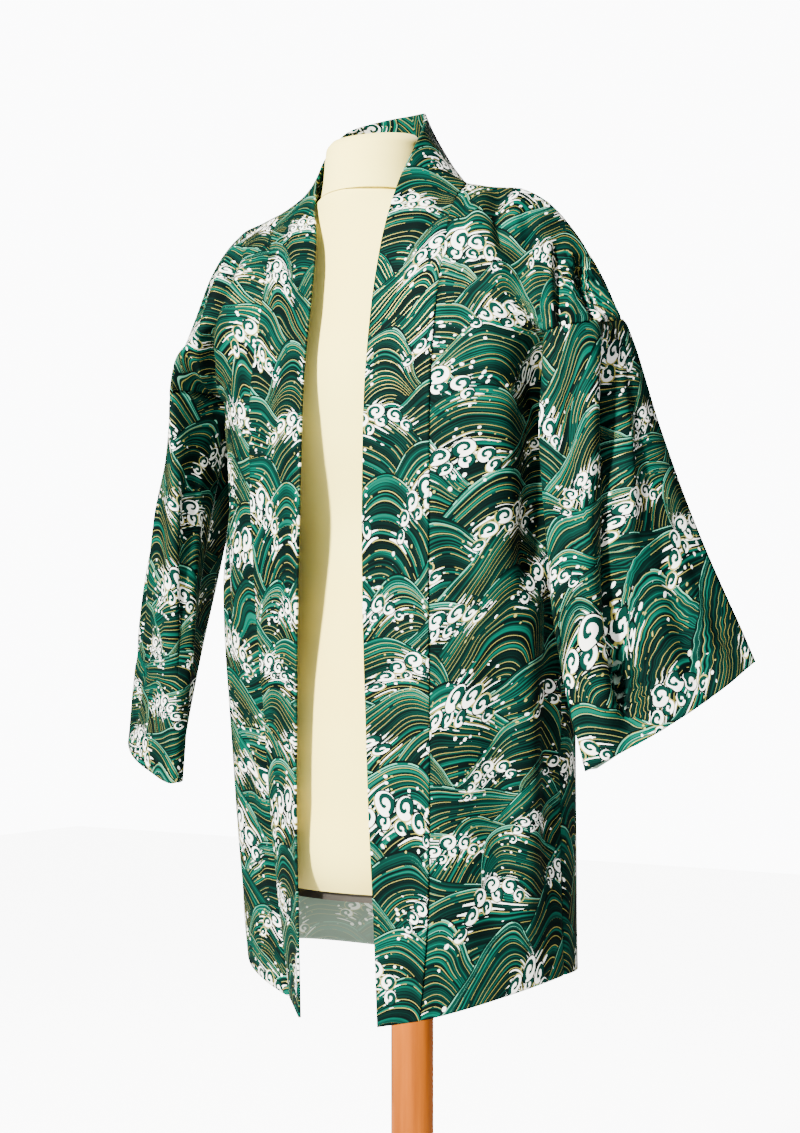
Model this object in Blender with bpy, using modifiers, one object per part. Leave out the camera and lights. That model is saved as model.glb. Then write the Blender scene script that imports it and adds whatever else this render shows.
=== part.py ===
"""Haori jacket on a limbless dress form with a wooden pole stand.

Metres, +Z up. The form faces -Y, the wearer's left is +X, and the origin lies in the middle of
the underside of the stand's base. Every cloth piece is an open sheet, worked out from the tables
below, that a Solidify modifier turns into a thin wall.
"""

from collections import namedtuple

import bpy
import numpy as np

# ---- driving sizes ---------------------------------------------------------------------------

CLOTH_WALL = 0.0015  # printed cotton, one layer with its seam allowances
BAND_WALL = 0.0024  # the collar band is cut double
SEAM_GAP = 0.0005  # each panel stops this far short of its seam line
UNDERARM_START = 0.014  # share of the sleeve's length where it begins under the arm
SHOULDER_GAP = 0.0014  # more where the front and back meet at an angle over the shoulder
POLE_RADIUS = 0.0212
BASE_RADIUS = 0.175
BASE_HEIGHT = 0.024
BASE_EDGE = 0.005
BOARD_HEIGHT = 0.008  # dark board that closes the form underneath
BOARD_INSET = 0.004
FORM_BOTTOM = 0.7305
NECK_SEAM = 1.4015  # where the neck cap meets the torso
TOUCH_GAP = 0.0003
CHEST_LEVEL = 0.13  # share of the panel's length, shoulder to hem, at each level below
ARM_FOLD_LEVEL = 0.21
UNDERARM_LEVEL = 0.30
HEM_SIDE_RISE = 0.034  # the side seams end this much higher than the front corners
LEAN = -0.018  # the shoulders sit this far towards the wearer's right
LEAN_START, LEAN_SPAN = 1.22, 0.18
RIGHT_DROP = 0.048  # the right sleeve hangs this much lower
RIGHT_CUFF_TILT = 0.020  # and its cuff tips this much down outside and up inside
CUFF_MIDDLE, CUFF_HALF_WIDTH = 0.297, 0.065

Side = namedtuple("Side", "name sign")
LEFT, RIGHT = Side("left", 1.0), Side("right", -1.0)

# Edges of the collar band and of the fronts: height, then x and y on each side.
Edge = namedtuple("Edge", "z left_x left_y right_x right_y")
BAND_SEAM = (
    Edge(1.400, 0.0960, -0.058, -0.1190, -0.058),
    Edge(1.372, 0.0980, -0.087, -0.1090, -0.087),
    Edge(1.335, 0.1040, -0.108, -0.0990, -0.108),
    Edge(1.290, 0.1045, -0.123, -0.0970, -0.120),
    Edge(1.210, 0.1010, -0.131, -0.1060, -0.126),
    Edge(1.110, 0.1010, -0.133, -0.1050, -0.127),
    Edge(1.000, 0.1010, -0.134, -0.0970, -0.129),
    Edge(0.900, 0.1025, -0.135, -0.0900, -0.126),
    Edge(0.800, 0.1030, -0.136, -0.0850, -0.121),
    Edge(0.710, 0.1020, -0.138, -0.0770, -0.117),
    Edge(0.624, 0.0960, -0.141, -0.0690, -0.113),
)
FREE_EDGE = (
    Edge(1.479, 0.0290, -0.022, -0.0660, -0.024),
    Edge(1.445, 0.0500, -0.070, -0.0690, -0.054),
    Edge(1.400, 0.0490, -0.101, -0.0580, -0.085),
    Edge(1.345, 0.0460, -0.124, -0.0340, -0.118),
    Edge(1.300, 0.0445, -0.136, -0.0285, -0.133),
    Edge(1.220, 0.0410, -0.146, -0.0290, -0.146),
    Edge(1.110, 0.0400, -0.150, -0.0300, -0.150),
    Edge(1.000, 0.0410, -0.151, -0.0325, -0.151),
    Edge(0.900, 0.0450, -0.152, -0.0325, -0.152),
    Edge(0.800, 0.0485, -0.152, -0.0330, -0.153),
    Edge(0.710, 0.0540, -0.153, -0.0300, -0.155),
    Edge(0.617, 0.0595, -0.155, -0.0250, -0.157),
)
Point = namedtuple("Point", "x y z")
NAPE_SEAM = Point(-0.012, 0.044, 1.434)
NAPE_FREE = Point(-0.014, 0.024, 1.503)
NECKLINE = (Point(0.045, 0.032, 1.430), Point(0.084, -0.006, 1.414))  # left half, nape to shoulder
COLLAR_TOP = (Point(0.024, 0.010, 1.498),)  # left half, nape to the side of the neck

# The shoulder fold, outwards from the neckline, mirrored for the right side.
SHOULDER = (
    Point(0.133, -0.046, 1.397),
    Point(0.163, -0.038, 1.393),
    Point(0.187, -0.032, 1.378),
    Point(0.209, -0.028, 1.348),
    Point(0.229, -0.025, 1.306),
)

# Sleeve sections, seam to cuff: outer fold, front fold and underarm line, then how far the
# front layer, on each side, and the back layer stand off the line between the folds.
SleeveRow = namedtuple("SleeveRow", "down outer front_fold underarm left_bulge right_bulge back_bulge")
SLEEVE = (
    SleeveRow(0.00, Point(0.246, -0.024, 1.262), Point(0.214, -0.118, 1.240),
              Point(0.189, -0.034, 1.210), 0.022, 0.007, 0.040),
    SleeveRow(0.08, Point(0.2545, -0.023, 1.235), Point(0.212, -0.119, 1.214),
              Point(0.199, -0.042, 1.182), 0.022, 0.010, 0.039),
    SleeveRow(0.30, Point(0.278, -0.020, 1.160), Point(0.207, -0.119, 1.140),
              Point(0.208, -0.060, 1.105), 0.022, 0.020, 0.034),
    SleeveRow(0.65, Point(0.318, -0.012, 1.048), Point(0.208, -0.108, 1.000),
              Point(0.217, -0.078, 0.975), 0.021, 0.026, 0.026),
    SleeveRow(1.00, Point(0.362, -0.006, 0.948), Point(0.233, -0.082, 0.851),
              Point(0.240, -0.074, 0.853), 0.018, 0.018, 0.018),
)

# Sections of the jacket below the underarm: rings squarer than an ellipse.
BodyRow = namedtuple("BodyRow", "level z half_width right_half_width front back centre")
BODY = (
    BodyRow(0.30, 1.210, 0.187, 0.189, -0.150, 0.104, -0.030),
    BodyRow(0.37, 1.150, 0.180, 0.184, -0.150, 0.104, -0.029),
    BodyRow(0.55, 1.000, 0.181, 0.196, -0.151, 0.104, -0.027),
    BodyRow(0.80, 0.790, 0.180, 0.190, -0.152, 0.106, -0.025),
    BodyRow(1.00, 0.622, 0.182, 0.178, -0.155, 0.110, -0.023),
)
BODY_SQUARENESS = 2.15

# Rows of the fronts between shoulder and underarm: points from band seam to armhole.
ChestRow = namedtuple("ChestRow", "level armhole_share inner middle outer")
FRONT_CHEST = (
    ChestRow(CHEST_LEVEL, 0.36, Point(0.136, -0.112, 1.330), Point(0.170, -0.110, 1.305),
             Point(0.205, -0.103, 1.272)),
    ChestRow(ARM_FOLD_LEVEL, 0.62, Point(0.132, -0.125, 1.270), Point(0.160, -0.121, 1.262),
             Point(0.186, -0.119, 1.252)),
)
BACK_CHEST = (
    ChestRow(CHEST_LEVEL, 0.36, Point(0.070, 0.082, 1.345), Point(0.130, 0.070, 1.330),
             Point(0.190, 0.045, 1.290)),
    ChestRow(ARM_FOLD_LEVEL, 0.62, Point(0.070, 0.096, 1.285), Point(0.125, 0.088, 1.278),
             Point(0.180, 0.060, 1.250)),
)
BACK_CENTRE = ((CHEST_LEVEL, 0.080, 1.350), (ARM_FOLD_LEVEL, 0.097, 1.287))  # level, y, z

# Largest folds: a trough (or, below zero, a ridge) pressed along a path by a push vector.
Fold = namedtuple("Fold", "side path width depth push")
SLEEVE_FACE = (0.81, -0.59, 0.0)
FOLDS = (
    Fold(LEFT, ((0.205, -0.045, 1.335), (0.246, -0.062, 1.235), (0.262, -0.060, 1.130),
                (0.270, -0.070, 1.000), (0.284, -0.072, 0.885)), 0.017, 0.020, SLEEVE_FACE),
    Fold(LEFT, ((0.186, -0.062, 1.370), (0.184, -0.104, 1.300), (0.192, -0.124, 1.235)),
         0.014, 0.010, (0.35, -0.90, 0.0)),
    Fold(RIGHT, ((0.208, -0.045, 1.335), (0.240, -0.068, 1.235), (0.256, -0.070, 1.110),
                 (0.276, -0.075, 0.960)), 0.017, 0.014, SLEEVE_FACE),
    Fold(RIGHT, ((0.180, -0.085, 1.340), (0.176, -0.116, 1.250), (0.170, -0.112, 1.060)),
         0.016, 0.009, (0.35, -0.90, 0.0)),
    Fold(LEFT, ((0.168, -0.090, 1.150), (0.176, -0.085, 0.930), (0.180, -0.080, 0.640)),
         0.020, -0.006, (0.60, -0.80, 0.0)),
)

# The form: sections of the torso from its lower edge to the neck seam.
FormRow = namedtuple("FormRow", "z half_width front back squareness")
TORSO = (
    FormRow(FORM_BOTTOM, 0.1480, -0.122, 0.082, 2.0),
    FormRow(0.7365, 0.1520, -0.126, 0.086, 2.0),
    FormRow(0.820, 0.1590, -0.132, 0.092, 2.0),
    FormRow(0.920, 0.1540, -0.128, 0.088, 2.0),
    FormRow(1.010, 0.1320, -0.113, 0.070, 2.0),
    FormRow(1.080, 0.1220, -0.106, 0.060, 2.0),
    FormRow(1.160, 0.1330, -0.120, 0.064, 2.0),
    FormRow(1.230, 0.1460, -0.128, 0.074, 2.0),
    FormRow(1.290, 0.1540, -0.117, 0.074, 2.0),
    FormRow(1.335, 0.1560, -0.106, 0.058, 1.9),
    FormRow(1.360, 0.1450, -0.101, 0.040, 1.6),
    FormRow(1.376, 0.1200, -0.099, 0.020, 1.4),
    FormRow(1.389, 0.0900, -0.098, 0.010, 1.4),
    FormRow(1.401, 0.0540, -0.097, 0.005, 1.8),
)
NeckRow = namedtuple("NeckRow", "z radius")
NECK_CENTRE = Point(-0.015, -0.046, 0.0)
NECK_TILT = 0.14  # the cap's top falls towards the front
NECK = (
    NeckRow(NECK_SEAM, 0.0525),
    NeckRow(1.420, 0.0500),
    NeckRow(1.445, 0.0480),
    NeckRow(1.460, 0.0470),
    NeckRow(1.466, 0.0440),
)

# ---- mesh sizes
FRONT_ROWS, FRONT_COLUMNS = 27, 13
BACK_ROWS, BACK_COLUMNS = 25, 25
SLEEVE_ROWS, SLEEVE_POINTS = 13, 40
BAND_ROWS, BAND_COLUMNS = 31, 4
FORM_POINTS = 40


# ---- curves ----------------------------------------------------------------------------------


def smooth(knots, values, at):
    """A cubic through the values at their knots, read at each place in `at`."""
    knots, values, at = np.asarray(knots, float), np.asarray(values, float), np.asarray(at, float)
    slopes = np.gradient(values, knots, axis=0)
    i = np.clip(np.searchsorted(knots, at, side="right") - 1, 0, len(knots) - 2)
    step = (knots[i + 1] - knots[i]).reshape(at.shape + (1,) * (values.ndim - 1))
    t = (at - knots[i]).reshape(step.shape) / step
    return (
        values[i] * (1 + 2 * t) * (1 - t) ** 2
        + step * slopes[i] * t * (1 - t) ** 2
        + values[i + 1] * t**2 * (3 - 2 * t)
        + step * slopes[i + 1] * t**2 * (t - 1)
    )


def through(points, at):
    """A smooth curve through points, read at shares of its length."""
    points = np.asarray(points, float)
    chord = np.concatenate([[0], np.cumsum(np.linalg.norm(np.diff(points, axis=0), axis=1))])
    fine = smooth(chord, points, np.linspace(0, chord[-1], 200))
    length = np.concatenate([[0], np.cumsum(np.linalg.norm(np.diff(fine, axis=0), axis=1))])
    at = np.asarray(at, float) * length[-1]
    return np.stack([np.interp(at, length, fine[:, k]) for k in range(3)], axis=-1)


def ease(t):
    """Runs smoothly from 0 to 1 as t does."""
    t = np.clip(t, 0, 1)
    return t * t * (3 - 2 * t)


def hang(side, points):
    """Puts points of the left half on a side, with the jacket's lean and the right sleeve's drop."""
    points = np.array(points, float)
    x, z = points[..., 0].copy(), points[..., 2].copy()
    if side is RIGHT:
        far_out = ease((x - 0.190) / 0.050)
        tilt = np.clip((x - CUFF_MIDDLE) / CUFF_HALF_WIDTH, -1, 1) * ease((1.22 - z) / 0.30)
        points[..., 2] = z - far_out * (RIGHT_DROP + RIGHT_CUFF_TILT * tilt)
    points[..., 0] = side.sign * x + LEAN * ease((z - LEAN_START) / LEAN_SPAN)
    return points


def edge_line(table, side, at):
    """An edge of the band on one side, read at shares of its length from the shoulder down."""
    rows = [
        (row.left_x, row.left_y, row.z) if side is LEFT else (row.right_x, row.right_y, row.z)
        for row in table
    ]
    return through(rows, at)


def body_ring(side, row, angles):
    """Points of a jacket section, from straight in front (0) to straight behind (pi)."""
    sine, cosine = np.sin(angles), np.cos(angles)
    power = 2 / BODY_SQUARENESS
    half_width = row.half_width if side is LEFT else row.right_half_width
    x = half_width * sine**power
    reach = np.where(cosine > 0, row.front, row.back) - row.centre
    y = row.centre + reach * np.abs(cosine) ** power
    z = row.z + HEM_SIDE_RISE * row.level**3 * sine**2 * np.where(cosine > 0, 1, 0.5)
    z = z + HEM_SIDE_RISE * row.level**3 * np.where(cosine > 0, 0, 0.5)
    return np.stack([x, y, z], axis=-1)


def sheet(levels, rows, first_edge, last_edge, across, down):
    """A sheet through cross rows at their levels, held to its side edges.

    The rows run right across, and the two side columns are left out of the result.
    """
    net = smooth(levels, rows, down)
    share = across[None, :, None]
    net += (1 - share) * (first_edge - net[:, 0])[:, None]
    net += share * (last_edge - net[:, -1])[:, None]
    return net[:, 1:-1]


def pressed(side, points):
    """The points with this side's largest folds pressed in."""
    out = points.copy()
    for fold in FOLDS:
        if fold.side is not side:
            continue
        path = hang(side, through(fold.path, np.linspace(0, 1, 40)))
        gap = points[..., None, :] - path
        distance = np.sqrt((gap**2).sum(axis=-1))
        nearest = distance.argmin(axis=-1)
        fade = ease(np.minimum(nearest, 39 - nearest) / 6.0)
        amount = fold.depth * fade * np.exp(-((distance.min(axis=-1) / fold.width) ** 2))
        push = np.array(fold.push) * (side.sign, 1, 1)
        out -= amount[..., None] * push
    return out


# ---- cloth surfaces --------------------------------------------------------------------------


def sleeve_halves(side, down, at):
    """Front and back half of a sleeve's section, each from the outer fold to the underarm."""
    knots = [row.down for row in SLEEVE]
    outer, fold, under = (
        smooth(knots, [getattr(row, name) for row in SLEEVE], [down])[0]
        for name in ("outer", "front_fold", "underarm")
    )
    front, back = (
        smooth(knots, [getattr(row, name) for row in SLEEVE], [down])[0]
        for name in (f"{side.name}_bulge", "back_bulge")
    )
    face = np.array(SLEEVE_FACE)
    tuck = fold + 0.5 * (under - fold) - face * 0.004
    front_half = (
        outer,
        outer + 0.30 * (fold - outer) + face * front,
        outer + 0.70 * (fold - outer) + face * front,
        fold,
        tuck,
        under,
    )
    backwards = np.array((-0.30, 0.95, 0.0))
    back_half = (
        outer,
        outer + 0.30 * (under - outer) + backwards * back,
        outer + 0.70 * (under - outer) + backwards * back,
        under,
    )
    return hang(side, through(front_half, at)), hang(side, through(back_half, at))


def armhole_share(down):
    """Where the armhole stands at each level of a panel: 0 at the shoulder, 1 at the underarm."""
    levels = (0, CHEST_LEVEL, ARM_FOLD_LEVEL, UNDERARM_LEVEL)
    shares = (0, FRONT_CHEST[0].armhole_share, FRONT_CHEST[1].armhole_share, 1)
    return np.clip(np.interp(down, levels, shares), 0, 1)


def outer_edge(side, down, half):
    """A panel's outer edge: half of the armhole, then the side seam down to the hem."""
    armhole = sleeve_halves(side, 0.0, armhole_share(down))[half]
    seam_rows = [body_ring(side, row, np.array([np.pi / 2]))[0] for row in BODY]
    seam_rows[0] = np.array(SLEEVE[0].underarm)
    side_seam = hang(side, smooth([row.level for row in BODY], seam_rows, down))
    below = (down > UNDERARM_LEVEL)[:, None]
    return np.where(below, side_seam, armhole)


def shoulder_line(side, at):
    """The shoulder fold from the neckline to the sleeve."""
    start = edge_line(BAND_SEAM, side, [0.0])
    rest = hang(side, [*SHOULDER, SLEEVE[0].outer])
    return through(np.concatenate([start, rest]), at)


def front_sheet(side, across, down):
    """A front panel, from the band seam to the armhole and side seam."""
    across = np.concatenate([[0], across, [1]])
    armhole = sleeve_halves(side, 0.0, [row.armhole_share for row in FRONT_CHEST])[0]
    seam_share = np.interp([row.level for row in FRONT_CHEST], [0, UNDERARM_LEVEL], [0, 0.27])
    seam = edge_line(BAND_SEAM, side, seam_share)
    rows = [shoulder_line(side, across)]
    for row, inner, outer in zip(FRONT_CHEST, seam, armhole):
        middle = hang(side, [row.inner, row.middle, row.outer])
        rows.append(through(np.concatenate([[inner], middle, [outer]]), across))
    start = np.radians(34)
    angles = start + across * (np.pi / 2 - start)
    rows += [hang(side, body_ring(side, row, angles)) for row in BODY]
    levels = [0] + [row.level for row in FRONT_CHEST] + [row.level for row in BODY]
    seam_share = np.interp(down, [0, UNDERARM_LEVEL, 1], [0, 0.27, 1])
    first = edge_line(BAND_SEAM, side, seam_share)
    return pressed(side, sheet(levels, rows, first, outer_edge(side, down, 0), across, down))


def neckline(side, at):
    """The back neckline, from the nape to the shoulder."""
    start = np.array(NAPE_SEAM)
    middle = hang(side, NECKLINE)
    end = edge_line(BAND_SEAM, side, [0.0])
    return through(np.concatenate([[start], middle, end]), at)


def back_sheet(side, across, down):
    """Half of the back panel, from the centre back to the armhole and side seam."""
    across = np.concatenate([[0], across, [1]])
    notch = 0.40  # share of the panel's width taken by half of the neckline
    top = np.where(
        (across < notch)[:, None],
        neckline(side, np.clip(across / notch, 0, 1)),
        shoulder_line(side, np.clip((across - notch) / (1 - notch), 0, 1)),
    )
    armhole = sleeve_halves(side, 0.0, [row.armhole_share for row in BACK_CHEST])[1]
    rows = [top]
    for row, outer, (_, y, z) in zip(BACK_CHEST, armhole, BACK_CENTRE):
        middle = hang(side, [row.inner, row.middle, row.outer])
        centre = hang(side, [(0.0, y, z)])
        rows.append(through(np.concatenate([centre, middle, [outer]]), across))
    angles = np.pi - across * np.pi / 2
    rows += [hang(side, body_ring(side, row, angles)) for row in BODY]
    levels = [0] + [row.level for row in BACK_CHEST] + [row.level for row in BODY]
    centre = smooth(levels, [row[0] for row in rows], down)
    return pressed(side, sheet(levels, rows, centre, outer_edge(side, down, 1), across, down))


def sleeve_sheet(side, down, points):
    """A sleeve as rings of points, from the armhole to the cuff."""
    half = np.linspace(0, 1, points // 2 + 1)
    rings = []
    for level in (UNDERARM_START, *down):
        front, back = sleeve_halves(side, level, half)
        rings.append(np.concatenate([front, back[-2:0:-1]]))
    near_underarm = ease((np.concatenate([half, half[-2:0:-1]]) - 0.40) / 0.40)[:, None]
    rings[1] = rings[1] * (1 - near_underarm) + rings[0] * near_underarm
    return pressed(side, np.array(rings[1:]))


def band_sheet(across, down):
    """The collar band: its free edge (across = 0) to its seam, from one hem over the nape."""
    halves = []
    for side in (LEFT, RIGHT):
        nape_free = np.array([NAPE_FREE])
        top = hang(side, COLLAR_TOP)
        free = through(
            np.concatenate([nape_free, top, edge_line(FREE_EDGE, side, np.linspace(0, 1, 40))]), down
        )
        seam_neck = neckline(side, np.linspace(0, 1, 12))[:-1]
        seam = through(
            np.concatenate([seam_neck, edge_line(BAND_SEAM, side, np.linspace(0, 1, 40))]), down
        )
        share = across[None, :, None]
        halves.append(free[:, None] * (1 - share) + seam[:, None] * share)
    left, right = halves
    return np.concatenate([left[::-1], right[1:]])


# ---- objects ---------------------------------------------------------------------------------


def linear(hex_colour):
    """An sRGB hex colour as linear RGBA."""
    value = [int(hex_colour[i : i + 2], 16) / 255 for i in (0, 2, 4)]
    return [v / 12.92 if v <= 0.04045 else ((v + 0.055) / 1.055) ** 2.4 for v in value] + [1.0]


def material(name, hex_colour, roughness):
    made = bpy.data.materials.new(name)
    made.use_nodes = True
    shader = made.node_tree.nodes["Principled BSDF"]
    shader.inputs["Base Color"].default_value = linear(hex_colour)
    shader.inputs["Roughness"].default_value = roughness
    return made


def grid_faces(rows, columns, closed):
    """Quads of a grid whose rows may close into rings."""
    faces = []
    for i in range(rows - 1):
        for j in range(columns if closed else columns - 1):
            k = (j + 1) % columns
            a, b = i * columns, (i + 1) * columns
            faces.append((a + j, b + j, b + k, a + k))
    return faces


def add_object(collection, name, vertices, faces, finish):
    mesh = bpy.data.meshes.new(name)
    mesh.from_pydata([tuple(v) for v in vertices], [], faces)
    mesh.validate()
    mesh.materials.append(finish)
    made = bpy.data.objects.new(name, mesh)
    collection.objects.link(made)
    return made


def cloth(collection, name, net, finish, wall, closed=False, flip=False):
    """A wall of cloth on a grid of points that is its middle surface."""
    rows, columns = net.shape[:2]
    faces = grid_faces(rows, columns, closed)
    if flip:
        faces = [face[::-1] for face in faces]
    made = add_object(collection, name, net.reshape(-1, 3), faces, finish)
    made.data.shade_smooth()
    thick = made.modifiers.new("wall", "SOLIDIFY")
    thick.thickness = wall
    thick.offset = 0.0
    thick.use_even_offset = True
    thick.use_quality_normals = True
    return made


def turned_body(collection, name, rings, finish):
    """A closed solid through rings of points, lowest first."""
    rings = np.array(rings)
    rows, columns = rings.shape[:2]
    faces = [face[::-1] for face in grid_faces(rows, columns, True)]
    faces.append(tuple(range(columns))[::-1])
    faces.append(tuple(range((rows - 1) * columns, rows * columns)))
    made = add_object(collection, name, rings.reshape(-1, 3), faces, finish)
    made.data.shade_smooth()
    made.data.set_sharp_from_angle(angle=np.radians(40))
    return made


def inset_shares(count, length, gap=SEAM_GAP, first=True, last=True):
    """Even shares of a length that stop the gap short of its ends."""
    gap = gap / length
    return np.linspace(gap if first else 0, 1 - gap if last else 1, count)


def torso_ring(row):
    """A section of the form's torso, leaning like the jacket's shoulders."""
    turn = np.linspace(0, 2 * np.pi, FORM_POINTS, endpoint=False)
    centre = (row.front + row.back) / 2
    sine, cosine = np.sin(turn), np.cos(turn)
    power = 2 / row.squareness
    x = row.half_width * np.sign(sine) * np.abs(sine) ** power
    x += LEAN * ease((row.z - LEAN_START) / LEAN_SPAN)
    y = centre - (row.back - centre) * np.sign(cosine) * np.abs(cosine) ** power
    return np.stack([x, y, np.full_like(x, row.z)], axis=-1)


def neck_ring(row):
    turn = np.linspace(0, 2 * np.pi, FORM_POINTS, endpoint=False)
    x = NECK_CENTRE.x + row.radius * np.sin(turn)
    y = NECK_CENTRE.y - row.radius * np.cos(turn)
    rise = (row.z - NECK_SEAM) / (NECK[-1].z - NECK_SEAM)
    z = row.z + NECK_TILT * rise * (y - NECK_CENTRE.y)
    return np.stack([x, y, z], axis=-1)


def flat_disc(collection, name, radius, low, high, edge, finish):
    """A turned disc with a rounded rim, standing on z = low."""
    bpy.ops.mesh.primitive_cylinder_add(
        vertices=64, radius=radius, depth=high - low, location=(0, 0, (low + high) / 2)
    )
    made = bpy.context.active_object
    made.name = name
    made.data.name = name
    made.data.materials.append(finish)
    for owner in list(made.users_collection):
        owner.objects.unlink(made)
    collection.objects.link(made)
    if edge:
        rim = made.modifiers.new("rim", "BEVEL")
        rim.width = edge
        rim.segments = 3
        rim.limit_method = "ANGLE"
    return made


def build_jacket(collection):
    print_cotton = material("printed_cotton", "0B5A4A", 0.75)
    fronts = inset_shares(FRONT_COLUMNS, 0.16)
    rows = inset_shares(FRONT_ROWS, 0.80, SHOULDER_GAP, last=False)
    for side in (LEFT, RIGHT):
        net = front_sheet(side, fronts, rows)
        cloth(collection, f"front_{side.name}", net, print_cotton, CLOTH_WALL, flip=side is RIGHT)

    half = inset_shares(BACK_COLUMNS // 2 + 1, 0.30, first=False)
    rows = inset_shares(BACK_ROWS, 0.80, SHOULDER_GAP, last=False)
    left, right = (back_sheet(side, half, rows) for side in (LEFT, RIGHT))
    centre = (left[:, :1] + right[:, :1]) / 2
    net = np.concatenate([right[:, :0:-1], centre, left[:, 1:]], axis=1)
    cloth(collection, "back", net, print_cotton, CLOTH_WALL, flip=True)

    rows = inset_shares(SLEEVE_ROWS, 0.36, last=False)
    for side in (LEFT, RIGHT):
        net = sleeve_sheet(side, rows, SLEEVE_POINTS)
        cloth(collection, f"sleeve_{side.name}", net, print_cotton, CLOTH_WALL, closed=True,
              flip=side is LEFT)

    across = inset_shares(BAND_COLUMNS, 0.065, first=False)
    net = band_sheet(across, np.linspace(0, 1, BAND_ROWS))
    cloth(collection, "collar_band", net, print_cotton, BAND_WALL)


def build_form(collection):
    cover = material("cream_cotton_cover", "F6EBC8", 0.85)
    turned_body(collection, "form_torso", [torso_ring(row) for row in TORSO], cover)
    turned_body(collection, "form_neck_cap", [neck_ring(row) for row in NECK], cover)
    lowest = TORSO[0]
    board = material("dark_board", "2A2620", 0.7)
    rings = []
    for z, inset in ((FORM_BOTTOM - TOUCH_GAP - BOARD_HEIGHT, BOARD_INSET),
                     (FORM_BOTTOM - TOUCH_GAP, BOARD_INSET)):
        rings.append(torso_ring(FormRow(z, lowest.half_width - inset, lowest.front + inset,
                                        lowest.back - inset, lowest.squareness)))
    turned_body(collection, "form_base_board", rings, board)


def build_stand(collection):
    wood = material("varnished_wood", "D98A2B", 0.35)
    pole_top = FORM_BOTTOM - BOARD_HEIGHT - 2 * TOUCH_GAP
    flat_disc(collection, "stand_base", BASE_RADIUS, 0.0, BASE_HEIGHT, BASE_EDGE, wood)
    pole_foot = BASE_HEIGHT + TOUCH_GAP
    flat_disc(collection, "stand_pole", POLE_RADIUS, pole_foot, pole_top, 0.0, wood)


def main():
    for old in list(bpy.data.objects):
        bpy.data.objects.remove(old, do_unlink=True)
    collection = bpy.data.collections.new("haori_on_dress_form")
    bpy.context.scene.collection.children.link(collection)
    build_jacket(collection)
    build_form(collection)
    build_stand(collection)


main()
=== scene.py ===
"""Looks of a haori jacket on a dress form: printed cotton cloth, covered form and wooden stand.

The script loads the modelled frame, puts a finely shaped shell of cloth over each of the
jacket's panels, covers the form, and finishes the stand. Metres, +Z up; the form faces -Y and
the wearer's left is +X. The print is drawn by shader nodes in cloth coordinates, in millimetres.
"""

from __future__ import annotations

import logging
from dataclasses import dataclass, field
from enum import Enum
from typing import Any, Callable, NamedTuple, Sequence, Union

import bmesh
import bpy
import numpy as np
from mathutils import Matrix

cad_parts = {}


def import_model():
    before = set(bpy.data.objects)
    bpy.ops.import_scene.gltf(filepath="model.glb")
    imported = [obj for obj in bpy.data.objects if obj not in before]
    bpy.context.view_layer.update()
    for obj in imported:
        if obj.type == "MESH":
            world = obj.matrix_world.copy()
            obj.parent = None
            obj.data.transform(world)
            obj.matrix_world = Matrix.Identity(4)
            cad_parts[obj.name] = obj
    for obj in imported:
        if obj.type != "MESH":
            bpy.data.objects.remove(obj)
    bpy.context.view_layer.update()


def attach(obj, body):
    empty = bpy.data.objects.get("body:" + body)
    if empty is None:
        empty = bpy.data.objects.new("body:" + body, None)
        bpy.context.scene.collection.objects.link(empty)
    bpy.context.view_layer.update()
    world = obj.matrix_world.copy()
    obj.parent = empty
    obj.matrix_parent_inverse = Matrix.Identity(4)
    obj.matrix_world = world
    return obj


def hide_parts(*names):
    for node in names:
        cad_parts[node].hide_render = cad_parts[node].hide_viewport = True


log = logging.getLogger("haori")

Array = np.ndarray
Vec2 = tuple[float, float]
Vec3 = tuple[float, float, float]
Amount = Union["Signal", float]
Paint = Union["Signal", str]

# ---- sizes of the cut ------------------------------------------------------------------------

CLOTH_WALL = 0.0015
BAND_WALL = 0.0024
SEAM_DIP = 0.0016  # how far a panel's edge rolls in to its seam
SEAM_ROLL = 0.0035  # over this width
CHEST_LEVEL = 0.13
ARM_FOLD_LEVEL = 0.21
UNDERARM_LEVEL = 0.30
UNDERARM_START = 0.014
HEM_SIDE_RISE = 0.034
LEAN = -0.018
LEAN_START, LEAN_SPAN = 1.22, 0.18
RIGHT_DROP = 0.048
RIGHT_CUFF_TILT = 0.020
CUFF_MIDDLE, CUFF_HALF_WIDTH = 0.297, 0.065
BODY_SQUARENESS = 2.15
FAR_OUT, FAR_OUT_SPAN = 0.190, 0.050  # where the right sleeve's drop sets in, across
TILT_TOP, TILT_SPAN = 1.22, 0.30  # where its cuff's tilt sets in, down
NEAR_SHARE, FAR_SHARE = 0.30, 0.70  # where a sleeve's layers stand furthest off
TUCK = 0.004  # how far the layer under a sleeve's front fold turns in
CHEST_SEAM_SHARE = 0.27  # of the band seam, above the underarm
NECK_SHARE = 0.40  # of half the back's top, before the shoulder
FRONT_START = 34  # degrees from straight ahead to a front's inner edge
FOLD_STEPS, FOLD_FADE = 40, 6.0
BAND_STEPS, NECK_STEPS = 40, 12
WAVE_HIGH, WAVE_LOW = 0.0007, 0.0004  # slow undulation of all the cloth
CREASE_FADE = 0.24  # share of a crease over which each end dies out
LIP_HEIGHT, LIP_PLACE = 0.35, 2.1  # cloth pushed up beside a crease, in its depth and width
SLEEVE_FACE: Vec3 = (0.81, -0.59, 0.0)
BACKWARDS: Vec3 = (-0.30, 0.95, 0.0)


class Side(Enum):
    """A side of the wearer, with the sign of its x."""

    LEFT = 1.0
    RIGHT = -1.0


class Edge(NamedTuple):
    """A height on an edge of the collar band, with its place on each side."""

    z: float
    left_x: float
    left_y: float
    right_x: float
    right_y: float


class SleeveRow(NamedTuple):
    """A section of the sleeve and how far its layers stand off the line between the folds."""

    down: float
    outer: Vec3
    front_fold: Vec3
    underarm: Vec3
    left_bulge: float
    right_bulge: float
    back_bulge: float


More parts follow.
